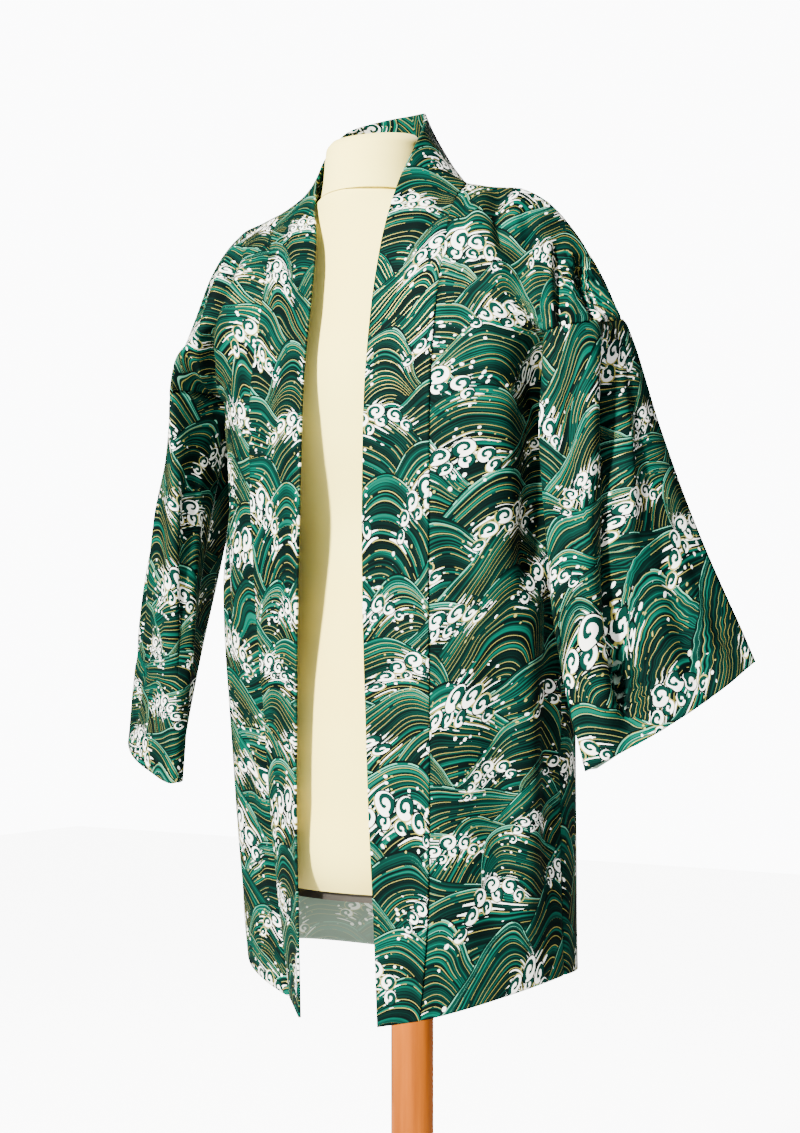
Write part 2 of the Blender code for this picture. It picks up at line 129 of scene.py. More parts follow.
class BodyRow(NamedTuple):
    """A section of the jacket below the underarm."""

    level: float
    z: float
    half_width: float
    right_half_width: float
    front: float
    back: float
    centre: float


class ChestRow(NamedTuple):
    """Points across a panel between shoulder and underarm."""

    level: float
    armhole_share: float
    inner: Vec3
    middle: Vec3
    outer: Vec3


class FormRow(NamedTuple):
    """A section of the form's torso."""

    z: float
    half_width: float
    front: float
    back: float
    squareness: float


class Fold(NamedTuple):
    """A trough (or ridge, below zero) pressed along a path in space by a push vector."""

    side: Side
    path: tuple[Vec3, ...]
    width: float
    depth: float
    push: Vec3


class Crease(NamedTuple):
    """A soft trough (or ridge, below zero) drawn on a panel, in millimetres.

    Its path is given by points across the panel and above the hem.
    """

    path: tuple[Vec2, ...]
    width: float
    depth: float


BAND_SEAM = (
    Edge(1.400, 0.0960, -0.058, -0.1190, -0.058),
    Edge(1.372, 0.0980, -0.087, -0.1090, -0.087),
    Edge(1.335, 0.1040, -0.108, -0.0990, -0.108),
    Edge(1.290, 0.1045, -0.123, -0.0970, -0.120),
    Edge(1.210, 0.1010, -0.131, -0.1060, -0.126),
    Edge(1.110, 0.1010, -0.133, -0.1050, -0.127),
    Edge(1.000, 0.1010, -0.134, -0.0970, -0.129),
    Edge(0.900, 0.1025, -0.135, -0.0900, -0.126),
    Edge(0.800, 0.1030, -0.136, -0.0850, -0.121),
    Edge(0.710, 0.1020, -0.138, -0.0770, -0.117),
    Edge(0.624, 0.0960, -0.141, -0.0690, -0.113),
)
FREE_EDGE = (
    Edge(1.479, 0.0290, -0.022, -0.0660, -0.024),
    Edge(1.445, 0.0500, -0.070, -0.0690, -0.054),
    Edge(1.400, 0.0490, -0.101, -0.0580, -0.085),
    Edge(1.345, 0.0460, -0.124, -0.0340, -0.118),
    Edge(1.300, 0.0445, -0.136, -0.0285, -0.133),
    Edge(1.220, 0.0410, -0.146, -0.0290, -0.146),
    Edge(1.110, 0.0400, -0.150, -0.0300, -0.150),
    Edge(1.000, 0.0410, -0.151, -0.0325, -0.151),
    Edge(0.900, 0.0450, -0.152, -0.0325, -0.152),
    Edge(0.800, 0.0485, -0.152, -0.0330, -0.153),
    Edge(0.710, 0.0540, -0.153, -0.0300, -0.155),
    Edge(0.617, 0.0595, -0.155, -0.0250, -0.157),
)
NAPE_SEAM: Vec3 = (-0.012, 0.044, 1.434)
NAPE_FREE: Vec3 = (-0.014, 0.024, 1.503)
NECKLINE: tuple[Vec3, ...] = ((0.045, 0.032, 1.430), (0.084, -0.006, 1.414))
COLLAR_TOP: tuple[Vec3, ...] = ((0.024, 0.010, 1.498),)
SHOULDER: tuple[Vec3, ...] = (
    (0.133, -0.046, 1.397),
    (0.163, -0.038, 1.393),
    (0.187, -0.032, 1.378),
    (0.209, -0.028, 1.348),
    (0.229, -0.025, 1.306),
)
SLEEVE = (
    SleeveRow(0.00, (0.246, -0.024, 1.262), (0.214, -0.118, 1.240), (0.189, -0.034, 1.210),
              0.022, 0.007, 0.040),
    SleeveRow(0.08, (0.2545, -0.023, 1.235), (0.212, -0.119, 1.214), (0.199, -0.042, 1.182),
              0.022, 0.010, 0.039),
    SleeveRow(0.30, (0.278, -0.020, 1.160), (0.207, -0.119, 1.140), (0.208, -0.060, 1.105),
              0.022, 0.020, 0.034),
    SleeveRow(0.65, (0.318, -0.012, 1.048), (0.208, -0.108, 1.000), (0.217, -0.078, 0.975),
              0.021, 0.026, 0.026),
    SleeveRow(1.00, (0.362, -0.006, 0.948), (0.233, -0.082, 0.851), (0.240, -0.074, 0.853),
              0.018, 0.018, 0.018),
)
BODY = (
    BodyRow(0.30, 1.210, 0.187, 0.189, -0.150, 0.104, -0.030),
    BodyRow(0.37, 1.150, 0.180, 0.184, -0.150, 0.104, -0.029),
    BodyRow(0.55, 1.000, 0.181, 0.196, -0.151, 0.104, -0.027),
    BodyRow(0.80, 0.790, 0.180, 0.190, -0.152, 0.106, -0.025),
    BodyRow(1.00, 0.622, 0.182, 0.178, -0.155, 0.110, -0.023),
)
FRONT_CHEST = (
    ChestRow(CHEST_LEVEL, 0.36, (0.136, -0.112, 1.330), (0.170, -0.110, 1.305),
             (0.205, -0.103, 1.272)),
    ChestRow(ARM_FOLD_LEVEL, 0.62, (0.132, -0.125, 1.270), (0.160, -0.121, 1.262),
             (0.186, -0.119, 1.252)),
)
BACK_CHEST = (
    ChestRow(CHEST_LEVEL, 0.36, (0.070, 0.082, 1.345), (0.130, 0.070, 1.330),
             (0.190, 0.045, 1.290)),
    ChestRow(ARM_FOLD_LEVEL, 0.62, (0.070, 0.096, 1.285), (0.125, 0.088, 1.278),
             (0.180, 0.060, 1.250)),
)
BACK_CENTRE = ((CHEST_LEVEL, 0.080, 1.350), (ARM_FOLD_LEVEL, 0.097, 1.287))

FOLDS = (
    Fold(Side.LEFT, ((0.205, -0.045, 1.335), (0.246, -0.062, 1.235), (0.262, -0.060, 1.130),
                     (0.270, -0.070, 1.000), (0.284, -0.072, 0.885)), 0.017, 0.020, SLEEVE_FACE),
    Fold(Side.LEFT, ((0.186, -0.062, 1.370), (0.184, -0.104, 1.300), (0.192, -0.124, 1.235)),
         0.014, 0.010, (0.35, -0.90, 0.0)),
    Fold(Side.RIGHT, ((0.208, -0.045, 1.335), (0.240, -0.068, 1.235), (0.256, -0.070, 1.110),
                      (0.276, -0.075, 0.960)), 0.017, 0.014, SLEEVE_FACE),
    Fold(Side.RIGHT, ((0.180, -0.085, 1.340), (0.176, -0.116, 1.250), (0.170, -0.112, 1.060)),
         0.016, 0.009, (0.35, -0.90, 0.0)),
    Fold(Side.LEFT, ((0.168, -0.090, 1.150), (0.176, -0.085, 0.930), (0.180, -0.080, 0.640)),
         0.020, -0.006, (0.60, -0.80, 0.0)),
)

# Creases in millimetres. Across is measured from the band seam on a front, from the
# centre back on the back, from the underarm round the front on a sleeve, and from the free edge
# on the band.
CREASES = {
    "front_left": (
        Crease(((35, 800), (48, 740), (70, 690)), 8, 8),
        Crease(((12, 775), (16, 720), (20, 640)), 6.5, 3.6),
        Crease(((92, 660), (107, 520), (96, 330)), 22, 16),
        Crease(((140, 752), (160, 722), (190, 670)), 6.5, 6),
        Crease(((112, 745), (132, 700), (146, 630)), 6.5, 7),
        Crease(((135, 420), (125, 260), (128, 60)), 15, 7),
        Crease(((60, 330), (64, 180), (60, 10)), 17, 4.2),
        Crease(((100, 560), (126, 515), (150, 500)), 8, 5),
    ),
    "front_right": (
        Crease(((36, 760), (60, 655), (98, 560)), 7.5, 10),
        Crease(((90, 580), (78, 470), (70, 330)), 12, 5.4),
        Crease(((115, 430), (110, 240), (104, 30)), 15, 5),
        Crease(((30, 300), (36, 160), (30, 10)), 12, 1.8),
    ),
    "back": (
        Crease(((-120, 780), (-110, 640), (-118, 460)), 13, 3.6),
        Crease(((105, 790), (120, 650), (108, 430)), 12, 4),
        Crease(((-60, 560), (-50, 380), (-62, 30)), 20, 3.2),
        Crease(((30, 500), (44, 300), (36, 10)), 17, 2.8),
        Crease(((150, 420), (142, 220), (152, 10)), 15, 3.4),
        Crease(((-155, 460), (-146, 260), (-150, 20)), 14, 3),
        Crease(((-90, 745), (0, 728), (85, 748)), 9, 2.2),
    ),
    "sleeve_left": (
        Crease(((158, 360), (114, 189), (58, -20)), 10.5, 19),
        Crease(((50, 320), (46, 200), (30, 60)), 13, 7),
        Crease(((170, 250), (160, 150), (140, -20)), 12, 6),
        Crease(((176, 200), (182, 110), (180, 5)), 8, 2.6),
        Crease(((110, 345), (118, 260), (124, 160)), 8.5, -2.8),
        Crease(((250, 320), (262, 180), (268, 20)), 13, 4.2),
        Crease(((300, 260), (310, 120), (322, 10)), 10, 2.6),
    ),
    "sleeve_right": (
        Crease(((140, 330), (146, 210), (150, 60)), 11.5, 8.5),
        Crease(((50, 345), (46, 230), (30, 80)), 10, 8),
        Crease(((100, 180), (108, 90), (112, 5)), 8, 2.4),
        Crease(((240, 310), (250, 190), (262, 20)), 12, 4),
        Crease(((300, 220), (306, 120), (312, 10)), 9, 2.4),
    ),
    "collar_band": (
        Crease(((40, 790), (44, 740), (36, 700)), 6, 1.6),
        Crease(((28, 560), (34, 400), (30, 250)), 12, 1),
    ),
}

TORSO = (
    FormRow(0.7305, 0.1480, -0.122, 0.082, 2.0),
    FormRow(0.7365, 0.1520, -0.126, 0.086, 2.0),
    FormRow(0.820, 0.1590, -0.132, 0.092, 2.0),
    FormRow(0.920, 0.1540, -0.128, 0.088, 2.0),
    FormRow(1.010, 0.1320, -0.113, 0.070, 2.0),
    FormRow(1.080, 0.1220, -0.106, 0.060, 2.0),
    FormRow(1.160, 0.1330, -0.120, 0.064, 2.0),
    FormRow(1.230, 0.1460, -0.128, 0.074, 2.0),
    FormRow(1.290, 0.1540, -0.117, 0.074, 2.0),
    FormRow(1.335, 0.1560, -0.106, 0.058, 1.9),
    FormRow(1.360, 0.1450, -0.101, 0.040, 1.6),
    FormRow(1.376, 0.1200, -0.099, 0.020, 1.4),
    FormRow(1.389, 0.0900, -0.098, 0.010, 1.4),
    FormRow(1.401, 0.0540, -0.097, 0.005, 1.8),
)
NECK_SEAM = 1.4015
NECK_TOP = 1.460
NECK_CENTRE: Vec2 = (-0.015, -0.046)
NECK_TILT = 0.14
NECK = ((1.4015, 0.0525), (1.4200, 0.0500), (1.4450, 0.0480), (1.4545, 0.0462), (1.4600, 0.0415))


# ---- curves ----------------------------------------------------------------------------------


def ease(t: Array) -> Array:
    """Runs smoothly from 0 to 1 as t does."""
    t = np.clip(t, 0, 1)
    return t * t * (3 - 2 * t)


def smooth(knots: Sequence[float], values: Sequence, at: Array) -> Array:
    """A cubic through values at their knots.

    Args:
        knots: rising places of the values.
        values: one number or point for each knot.
        at: places to read.

    Returns:
        The value at each place.
    """
    knots, values, at = np.asarray(knots, float), np.asarray(values, float), np.asarray(at, float)
    slopes = np.gradient(values, knots, axis=0)
    i = np.clip(np.searchsorted(knots, at, side="right") - 1, 0, len(knots) - 2)
    step = (knots[i + 1] - knots[i]).reshape(at.shape + (1,) * (values.ndim - 1))
    t = (at - knots[i]).reshape(step.shape) / step
    return (
        values[i] * (1 + 2 * t) * (1 - t) ** 2
        + step * slopes[i] * t * (1 - t) ** 2
        + values[i + 1] * t**2 * (3 - 2 * t)
        + step * slopes[i + 1] * t**2 * (t - 1)
    )


def through(points: Sequence, at: Array) -> Array:
    """A smooth curve through points, read at shares of its length.

    Args:
        points: in order.
        at: shares, 0 to 1.

    Returns:
        The point at each share.
    """
    points = np.asarray(points, float)
    chord = np.concatenate([[0], np.cumsum(np.linalg.norm(np.diff(points, axis=0), axis=1))])
    fine = smooth(chord, points, np.linspace(0, chord[-1], 400))
    length = np.concatenate([[0], np.cumsum(np.linalg.norm(np.diff(fine, axis=0), axis=1))])
    at = np.asarray(at, float) * length[-1]
    return np.stack([np.interp(at, length, fine[:, k]) for k in range(points.shape[1])], axis=-1)


def path_distance(points: Array, path: Array) -> tuple[Array, Array]:
    """Distance from points to a polyline's points, and how far along the nearest one is (0 to 1).

    Args:
        points: to measure from.
        path: the polyline's points.

    Returns:
        Both, for each point.
    """
    best = np.full(points.shape[:-1], np.inf)
    along = np.zeros(points.shape[:-1])
    for k, spot in enumerate(path):
        gap = ((points - spot) ** 2).sum(axis=-1)
        closer = gap < best
        best = np.where(closer, gap, best)
        along = np.where(closer, k / (len(path) - 1), along)
    return np.sqrt(best), along


# ---- the jacket's surfaces -------------------------------------------------------------------


@dataclass(frozen=True)
class HaoriCut:
    """Works out the middle surfaces of one side's panels as grids of points.

    The rows of a grid run from the shoulder to the hem, or from the armhole to the cuff.
    """

    side: Side

    def hang(self, points: Sequence) -> Array:
        """Puts points of the left half on a side, with the lean and the right sleeve's drop.

        Args:
            points: of the left half.

        Returns:
            The points on that side.
        """
        points = np.array(points, float)
        x, z = points[..., 0].copy(), points[..., 2].copy()
        if self.side is Side.RIGHT:
            far_out = ease((x - FAR_OUT) / FAR_OUT_SPAN)
            tilt = np.clip((x - CUFF_MIDDLE) / CUFF_HALF_WIDTH, -1, 1)
            tilt = tilt * ease((TILT_TOP - z) / TILT_SPAN)
            points[..., 2] = z - far_out * (RIGHT_DROP + RIGHT_CUFF_TILT * tilt)
        points[..., 0] = self.side.value * x + LEAN * ease((z - LEAN_START) / LEAN_SPAN)
        return points

    def edge_line(self, table: Sequence[Edge], at: Array) -> Array:
        """An edge of the band on one side, at shares of its length from the shoulder down.

        Args:
            table: the edge.
            at: shares.

        Returns:
            The points.
        """
        left = self.side is Side.LEFT
        rows = [(r.left_x, r.left_y, r.z) if left else (r.right_x, r.right_y, r.z) for r in table]
        return through(rows, at)

    def body_ring(self, row: BodyRow, angles: Array) -> Array:
        """Points of a section, from straight in front (0) to straight behind (pi).

        Args:
            row: the section.
            angles: in radians.

        Returns:
            The points, on the left half.
        """
        sine, cosine = np.sin(angles), np.cos(angles)
        power = 2 / BODY_SQUARENESS
        x = (row.half_width if self.side is Side.LEFT else row.right_half_width) * sine**power
        reach = np.where(cosine > 0, row.front, row.back) - row.centre
        y = row.centre + reach * np.abs(cosine) ** power
        z = row.z + HEM_SIDE_RISE * row.level**3 * sine**2 * np.where(cosine > 0, 1, 0.5)
        z = z + HEM_SIDE_RISE * row.level**3 * np.where(cosine > 0, 0, 0.5)
        return np.stack([x, y, z], axis=-1)

    def sleeve_halves(self, down: float, at: Array) -> tuple[Array, Array]:
        """Front and back half of a sleeve's section, from the outer fold to the underarm.

        Args:
            down: share of the sleeve, from armhole to cuff.
            at: shares of each half.

        Returns:
            The points of both halves.
        """
        knots = [row.down for row in SLEEVE]
        outer, fold, under = (
            smooth(knots, [getattr(row, name) for row in SLEEVE], [down])[0]
            for name in ("outer", "front_fold", "underarm")
        )
        bulge = "left_bulge" if self.side is Side.LEFT else "right_bulge"
        front, back = (
            smooth(knots, [getattr(row, name) for row in SLEEVE], [down])[0]
            for name in (bulge, "back_bulge")
        )
        face = np.array(SLEEVE_FACE)
        tuck = fold + 0.5 * (under - fold) - face * TUCK
        near, far = (outer + share * (fold - outer) for share in (NEAR_SHARE, FAR_SHARE))
        front_half = (outer, near + face * front, far + face * front, fold, tuck, under)
        away = np.array(BACKWARDS) * back
        near, far = (outer + share * (under - outer) for share in (NEAR_SHARE, FAR_SHARE))
        back_half = (outer, near + away, far + away, under)
        return (
            self.hang(through(front_half, at)),
            self.hang(through(back_half, at)),
        )

    def outer_edge(self, down: Array, half: int) -> Array:
        """A panel's outer edge: half of the armhole, then the side seam down to the hem.

        Args:
            down: shares of the length.
            half: 0 for the front, 1 for the back.

        Returns:
            The points.
        """
        levels = (0, CHEST_LEVEL, ARM_FOLD_LEVEL, UNDERARM_LEVEL)
        shares = (0, FRONT_CHEST[0].armhole_share, FRONT_CHEST[1].armhole_share, 1)
        armhole = self.sleeve_halves(0.0, np.interp(down, levels, shares))[half]
        seam_rows = [self.body_ring(row, np.array([np.pi / 2]))[0] for row in BODY]
        seam_rows[0] = np.array(SLEEVE[0].underarm)
        side_seam = self.hang(smooth([row.level for row in BODY], seam_rows, down))
        return np.where((down > UNDERARM_LEVEL)[:, None], side_seam, armhole)

    def shoulder_line(self, at: Array) -> Array:
        """The shoulder fold from the neckline to the sleeve.

        Args:
            at: shares of its length.

        Returns:
            The points.
        """
        start = self.edge_line(BAND_SEAM, [0.0])
        rest = self.hang([*SHOULDER, SLEEVE[0].outer])
        return through(np.concatenate([start, rest]), at)

    def neckline(self, at: Array) -> Array:
        """The back neckline, from the nape to the shoulder.

        Args:
            at: shares of its length.

        Returns:
            The points.
        """
        middle = self.hang(NECKLINE)
        end = self.edge_line(BAND_SEAM, [0.0])
        return through(np.concatenate([[NAPE_SEAM], middle, end]), at)

    @staticmethod
    def sheet(
        levels: Sequence[float], rows: Sequence[Array], first: Array, last: Array,
        across: Array, down: Array,
    ) -> Array:
        """A sheet through cross rows at their levels, held to its two side edges.

        Args:
            levels: share of the length at each row.
            rows: points across the panel.
            first: edge that the rows start on.
            last: edge that they end on.
            across: shares of the width.
            down: shares of the length.

        Returns:
            The grid.
        """
        net = smooth(levels, rows, down)
        share = across[None, :, None]
        net += (1 - share) * (first - net[:, 0])[:, None]
        net += share * (last - net[:, -1])[:, None]
        return net

    def pressed(self, points: Array) -> Array:
        """The points with this side's largest folds pressed in.

        Args:
            points: a grid.

        Returns:
            The changed grid.
        """
        out = points.copy()
        for fold in FOLDS:
            if fold.side is not self.side:
                continue
            path = self.hang(through(fold.path, np.linspace(0, 1, FOLD_STEPS)))
            distance, along = path_distance(points, path)
            fade = ease(np.minimum(along, 1 - along) * (FOLD_STEPS - 1) / FOLD_FADE)
            amount = fold.depth * fade * np.exp(-((distance / fold.width) ** 2))
            out -= amount[..., None] * (np.array(fold.push) * (self.side.value, 1, 1))
        return out

    def front(self, across: Array, down: Array) -> Array:
        """A front panel, from the band seam to the armhole and side seam.

        Args:
            across: shares of the width.
            down: shares of the length.

        Returns:
            The grid.
        """
        armhole = self.sleeve_halves(0.0, [row.armhole_share for row in FRONT_CHEST])[0]
        seam_share = np.interp([row.level for row in FRONT_CHEST], [0, UNDERARM_LEVEL],
                               [0, CHEST_SEAM_SHARE])
        seam = self.edge_line(BAND_SEAM, seam_share)
        rows = [self.shoulder_line(across)]
        for row, inner, outer in zip(FRONT_CHEST, seam, armhole):
            middle = self.hang([row.inner, row.middle, row.outer])
            rows.append(through(np.concatenate([[inner], middle, [outer]]), across))
        start = np.radians(FRONT_START)
        angles = start + across * (np.pi / 2 - start)
        rows += [self.hang(self.body_ring(row, angles)) for row in BODY]
        levels = [0] + [row.level for row in FRONT_CHEST] + [row.level for row in BODY]
        seam_share = np.interp(down, [0, UNDERARM_LEVEL, 1], [0, CHEST_SEAM_SHARE, 1])
        first = self.edge_line(BAND_SEAM, seam_share)
        last = self.outer_edge(down, 0)
        return self.pressed(self.sheet(levels, rows, first, last, across, down))

    def half_back(self, across: Array, down: Array) -> Array:
        """Half of the back panel, from the centre back to the armhole and side seam.

        Args:
            across: shares of the width.
            down: shares of the length.

        Returns:
            The grid.
        """
        top = np.where(
            (across < NECK_SHARE)[:, None],
            self.neckline(np.clip(across / NECK_SHARE, 0, 1)),
            self.shoulder_line(np.clip((across - NECK_SHARE) / (1 - NECK_SHARE), 0, 1)),
        )
        armhole = self.sleeve_halves(0.0, [row.armhole_share for row in BACK_CHEST])[1]
        rows = [top]
        for row, outer, (_, y, z) in zip(BACK_CHEST, armhole, BACK_CENTRE):
            middle = self.hang([row.inner, row.middle, row.outer])
            centre = self.hang([(0.0, y, z)])
            rows.append(through(np.concatenate([centre, middle, [outer]]), across))
        angles = np.pi - across * np.pi / 2
        rows += [self.hang(self.body_ring(row, angles)) for row in BODY]
        levels = [0] + [row.level for row in BACK_CHEST] + [row.level for row in BODY]
        centre = smooth(levels, [row[0] for row in rows], down)
        last = self.outer_edge(down, 1)
        return self.pressed(self.sheet(levels, rows, centre, last, across, down))

    def sleeve(self, down: Array, points: int) -> Array:
        """A sleeve as rings that start at the underarm and run round the front.

        Args:
            down: shares of the length.
            points: in a ring.

        Returns:
            The grid.
        """
        half = np.linspace(0, 1, points // 2 + 1)
        rings = []
        for level in (UNDERARM_START, *down):
            front, back = self.sleeve_halves(level, half)
            rings.append(np.concatenate([front, back[-2:0:-1]]))
        near_underarm = ease((np.concatenate([half, half[-2:0:-1]]) - 0.40) / 0.40)[:, None]
        net = np.array(rings[1:])
        level = ease(1 - down / 0.083)[:, None, None]
        net = net + level * near_underarm[None] * (rings[0] - net[0])[None]
        net = np.roll(self.pressed(net), -(points // 2), axis=1)
        return net[:, ::-1]

    def half_band(self, across: Array, down: Array) -> Array:
        """Half of the collar band, free edge first, from the nape to the hem.

        Args:
            across: shares of the width.
            down: shares of the length.

        Returns:
            The grid.
        """
        steps = np.linspace(0, 1, BAND_STEPS)
        edge = self.edge_line(FREE_EDGE, steps)
        free = through(np.concatenate([[NAPE_FREE], self.hang(COLLAR_TOP), edge]), down)
        neck = self.neckline(np.linspace(0, 1, NECK_STEPS))[:-1]
        seam = through(np.concatenate([neck, self.edge_line(BAND_SEAM, steps)]), down)
        share = across[None, :, None]
        return free[:, None] * (1 - share) + seam[:, None] * share


# ---- node graphs -----------------------------------------------------------------------------


def linear(hex_colour: str) -> tuple[float, float, float, float]:
    """An sRGB hex colour as linear RGBA.

    Args:
        hex_colour: six hex digits.

    Returns:
        Red, green, blue and full alpha.
    """
    value = [int(hex_colour[i : i + 2], 16) / 255 for i in (0, 2, 4)]
    red, green, blue = (v / 12.92 if v <= 0.04045 else ((v + 0.055) / 1.055) ** 2.4 for v in value)
    return red, green, blue, 1.0


class NodeGraph:
    """A material's node tree, with one way to add to it."""

    def __init__(self, name: str, roughness: float, sheen: float = 0.0) -> None:
        """Makes the material and sets what is the same all over it.

        Args:
            name: the material's name.
            roughness: of the shader, where nothing is wired to it.
            sheen: soft light at grazing angles, as cloth has.
        """
        self.material = bpy.data.materials.new(name)
        self.material.use_nodes = True
        self.tree = self.material.node_tree
        self.shader = self.tree.nodes["Principled BSDF"]
        self.shader.inputs["Roughness"].default_value = roughness
        self.shader.inputs["Sheen Weight"].default_value = sheen
        self.shader.inputs["Sheen Roughness"].default_value = 0.5

    def put(self, socket: bpy.types.NodeSocket, value: Any) -> None:
        """Wires a signal to an input, or fills it with a constant or a hex colour.

        Args:
            socket: the input.
            value: a signal, a number, a vector, or a hex colour.
        """
        if isinstance(value, Signal):
            self.tree.links.new(value.socket, socket)
        else:
            socket.default_value = linear(value) if isinstance(value, str) else value

    def add(self, kind: str, inputs: dict | tuple = (), output: int | str = 0,
            **settings: Any) -> Signal:
        """Adds a node, sets it, wires or fills its inputs, and gives one of its outputs.

        Args:
            kind: the node's type, after "ShaderNode".
            inputs: values for its inputs, in order or by name or number.
            output: which output to give.
            settings: its other properties.

        Returns:
            The output as a signal.
        """
        node = self.tree.nodes.new("ShaderNode" + kind)
        for key, value in settings.items():
            setattr(node, key, value)
        for key, value in (inputs if isinstance(inputs, dict) else dict(enumerate(inputs))).items():
            self.put(node.inputs[key], value)
        return Signal(self, node.outputs[output])

    def wire(self, name: str, value: Any) -> None:
        """Wires or fills an input of the shader."""
        self.put(self.shader.inputs[name], value)


def applied(operation: str) -> Callable[[Signal, Amount], Signal]:
    """A method for one of Python's signs, which compares to 1 or 0 and joins masks by `&`."""
    return lambda signal, other: signal.math(operation, other)


@dataclass(frozen=True)
class Signal:
    """What a node gives, which Python's own signs and the methods below combine."""

    graph: NodeGraph
    socket: bpy.types.NodeSocket

    def math(self, operation: str, *others: Amount) -> Signal:
        """A Math node's result."""
        return self.graph.add("Math", (self, *others), operation=operation)

    __add__ = __radd__ = applied("ADD")
    __sub__ = applied("SUBTRACT")
    __mul__ = __rmul__ = __and__ = applied("MULTIPLY")
    __truediv__ = applied("DIVIDE")
    __lt__ = applied("LESS_THAN")
    __gt__ = applied("GREATER_THAN")

    def __rsub__(self, other: Amount) -> Signal:
        """A number less this."""
        return self.math("MULTIPLY_ADD", -1.0, other)

    def choose(self, where_one: Amount, where_zero: Amount) -> Signal:
        """One number where this mask is 1 and another where it is 0."""
        return self.graph.add("Mix", {0: self, 2: where_zero, 3: where_one})

    def between(self, low: float, high: float) -> Signal:
        """A clamped rise from 0 at one value to 1 at another."""
        return self.graph.add("MapRange", (self, low, high))

    def tint(self, over: Paint, colour: Paint) -> Signal:
        """A colour laid over another by this share."""
        return self.graph.add("Mix", {0: self, 6: over, 7: colour}, 2, data_type="RGBA")

    def noise(self, scale: float, detail: float = 1.0) -> Signal:
        """Noise along this number."""
        return self.graph.add("TexNoise", {"W": self, "Scale": scale, "Detail": detail},
                              noise_dimensions="1D")


def object_noise(g: NodeGraph, size: float, detail: float = 2.0,
                 squeeze: Vec3 = (1.0, 1.0, 1.0)) -> Signal:
    """Noise in Object coordinates.

    Args:
        g: the material's nodes.
        size: of its features, in millimetres.
        detail: octaves of finer noise.
        squeeze: a factor for each axis; a small one draws the features out along it.

    Returns:
        The noise, about 0.5.
    """
    place = g.add("Mapping", {"Vector": g.add("TexCoord", output="Object"), "Scale": squeeze})
    return g.add("TexNoise", {"Vector": place, "Scale": 1000.0 / size, "Detail": detail})


def bumped(g: NodeGraph, height: Signal, distance: float, strength: float) -> None:
    """Wires a height to the shader's normal.

    Args:
        g: the material's nodes.
        height: the relief, 0 to 1.
        distance: its depth in metres.
        strength: how far it turns the light.
    """
    g.wire("Normal", g.add("Bump", {"Height": height, "Distance": distance, "Strength": strength}))


# ---- the printed pattern ---------------------------------------------------------------------


class Curl(NamedTuple):
    """A hooked lick of foam in millimetres: its middle, radius, opening in degrees, and hand."""

    x: float
    y: float
    radius: float
    opening: float
    hand: int


# Foam is drawn back to front, in axes that point right and up from the middle of its cell.
CURLS = (
    Curl(-37, -13, 5.4, 190, 1), Curl(-9, -4, 5.6, 230, 1), Curl(31, -9, 6.4, -95, -1),
    Curl(-28, -1, 7.0, 205, 1), Curl(7, 1, 6.8, -75, -1), Curl(23, 4, 8.0, -70, -1),
    Curl(-15, 9, 8.0, 225, 1), Curl(4, 14, 9.4, 245, 1),
)


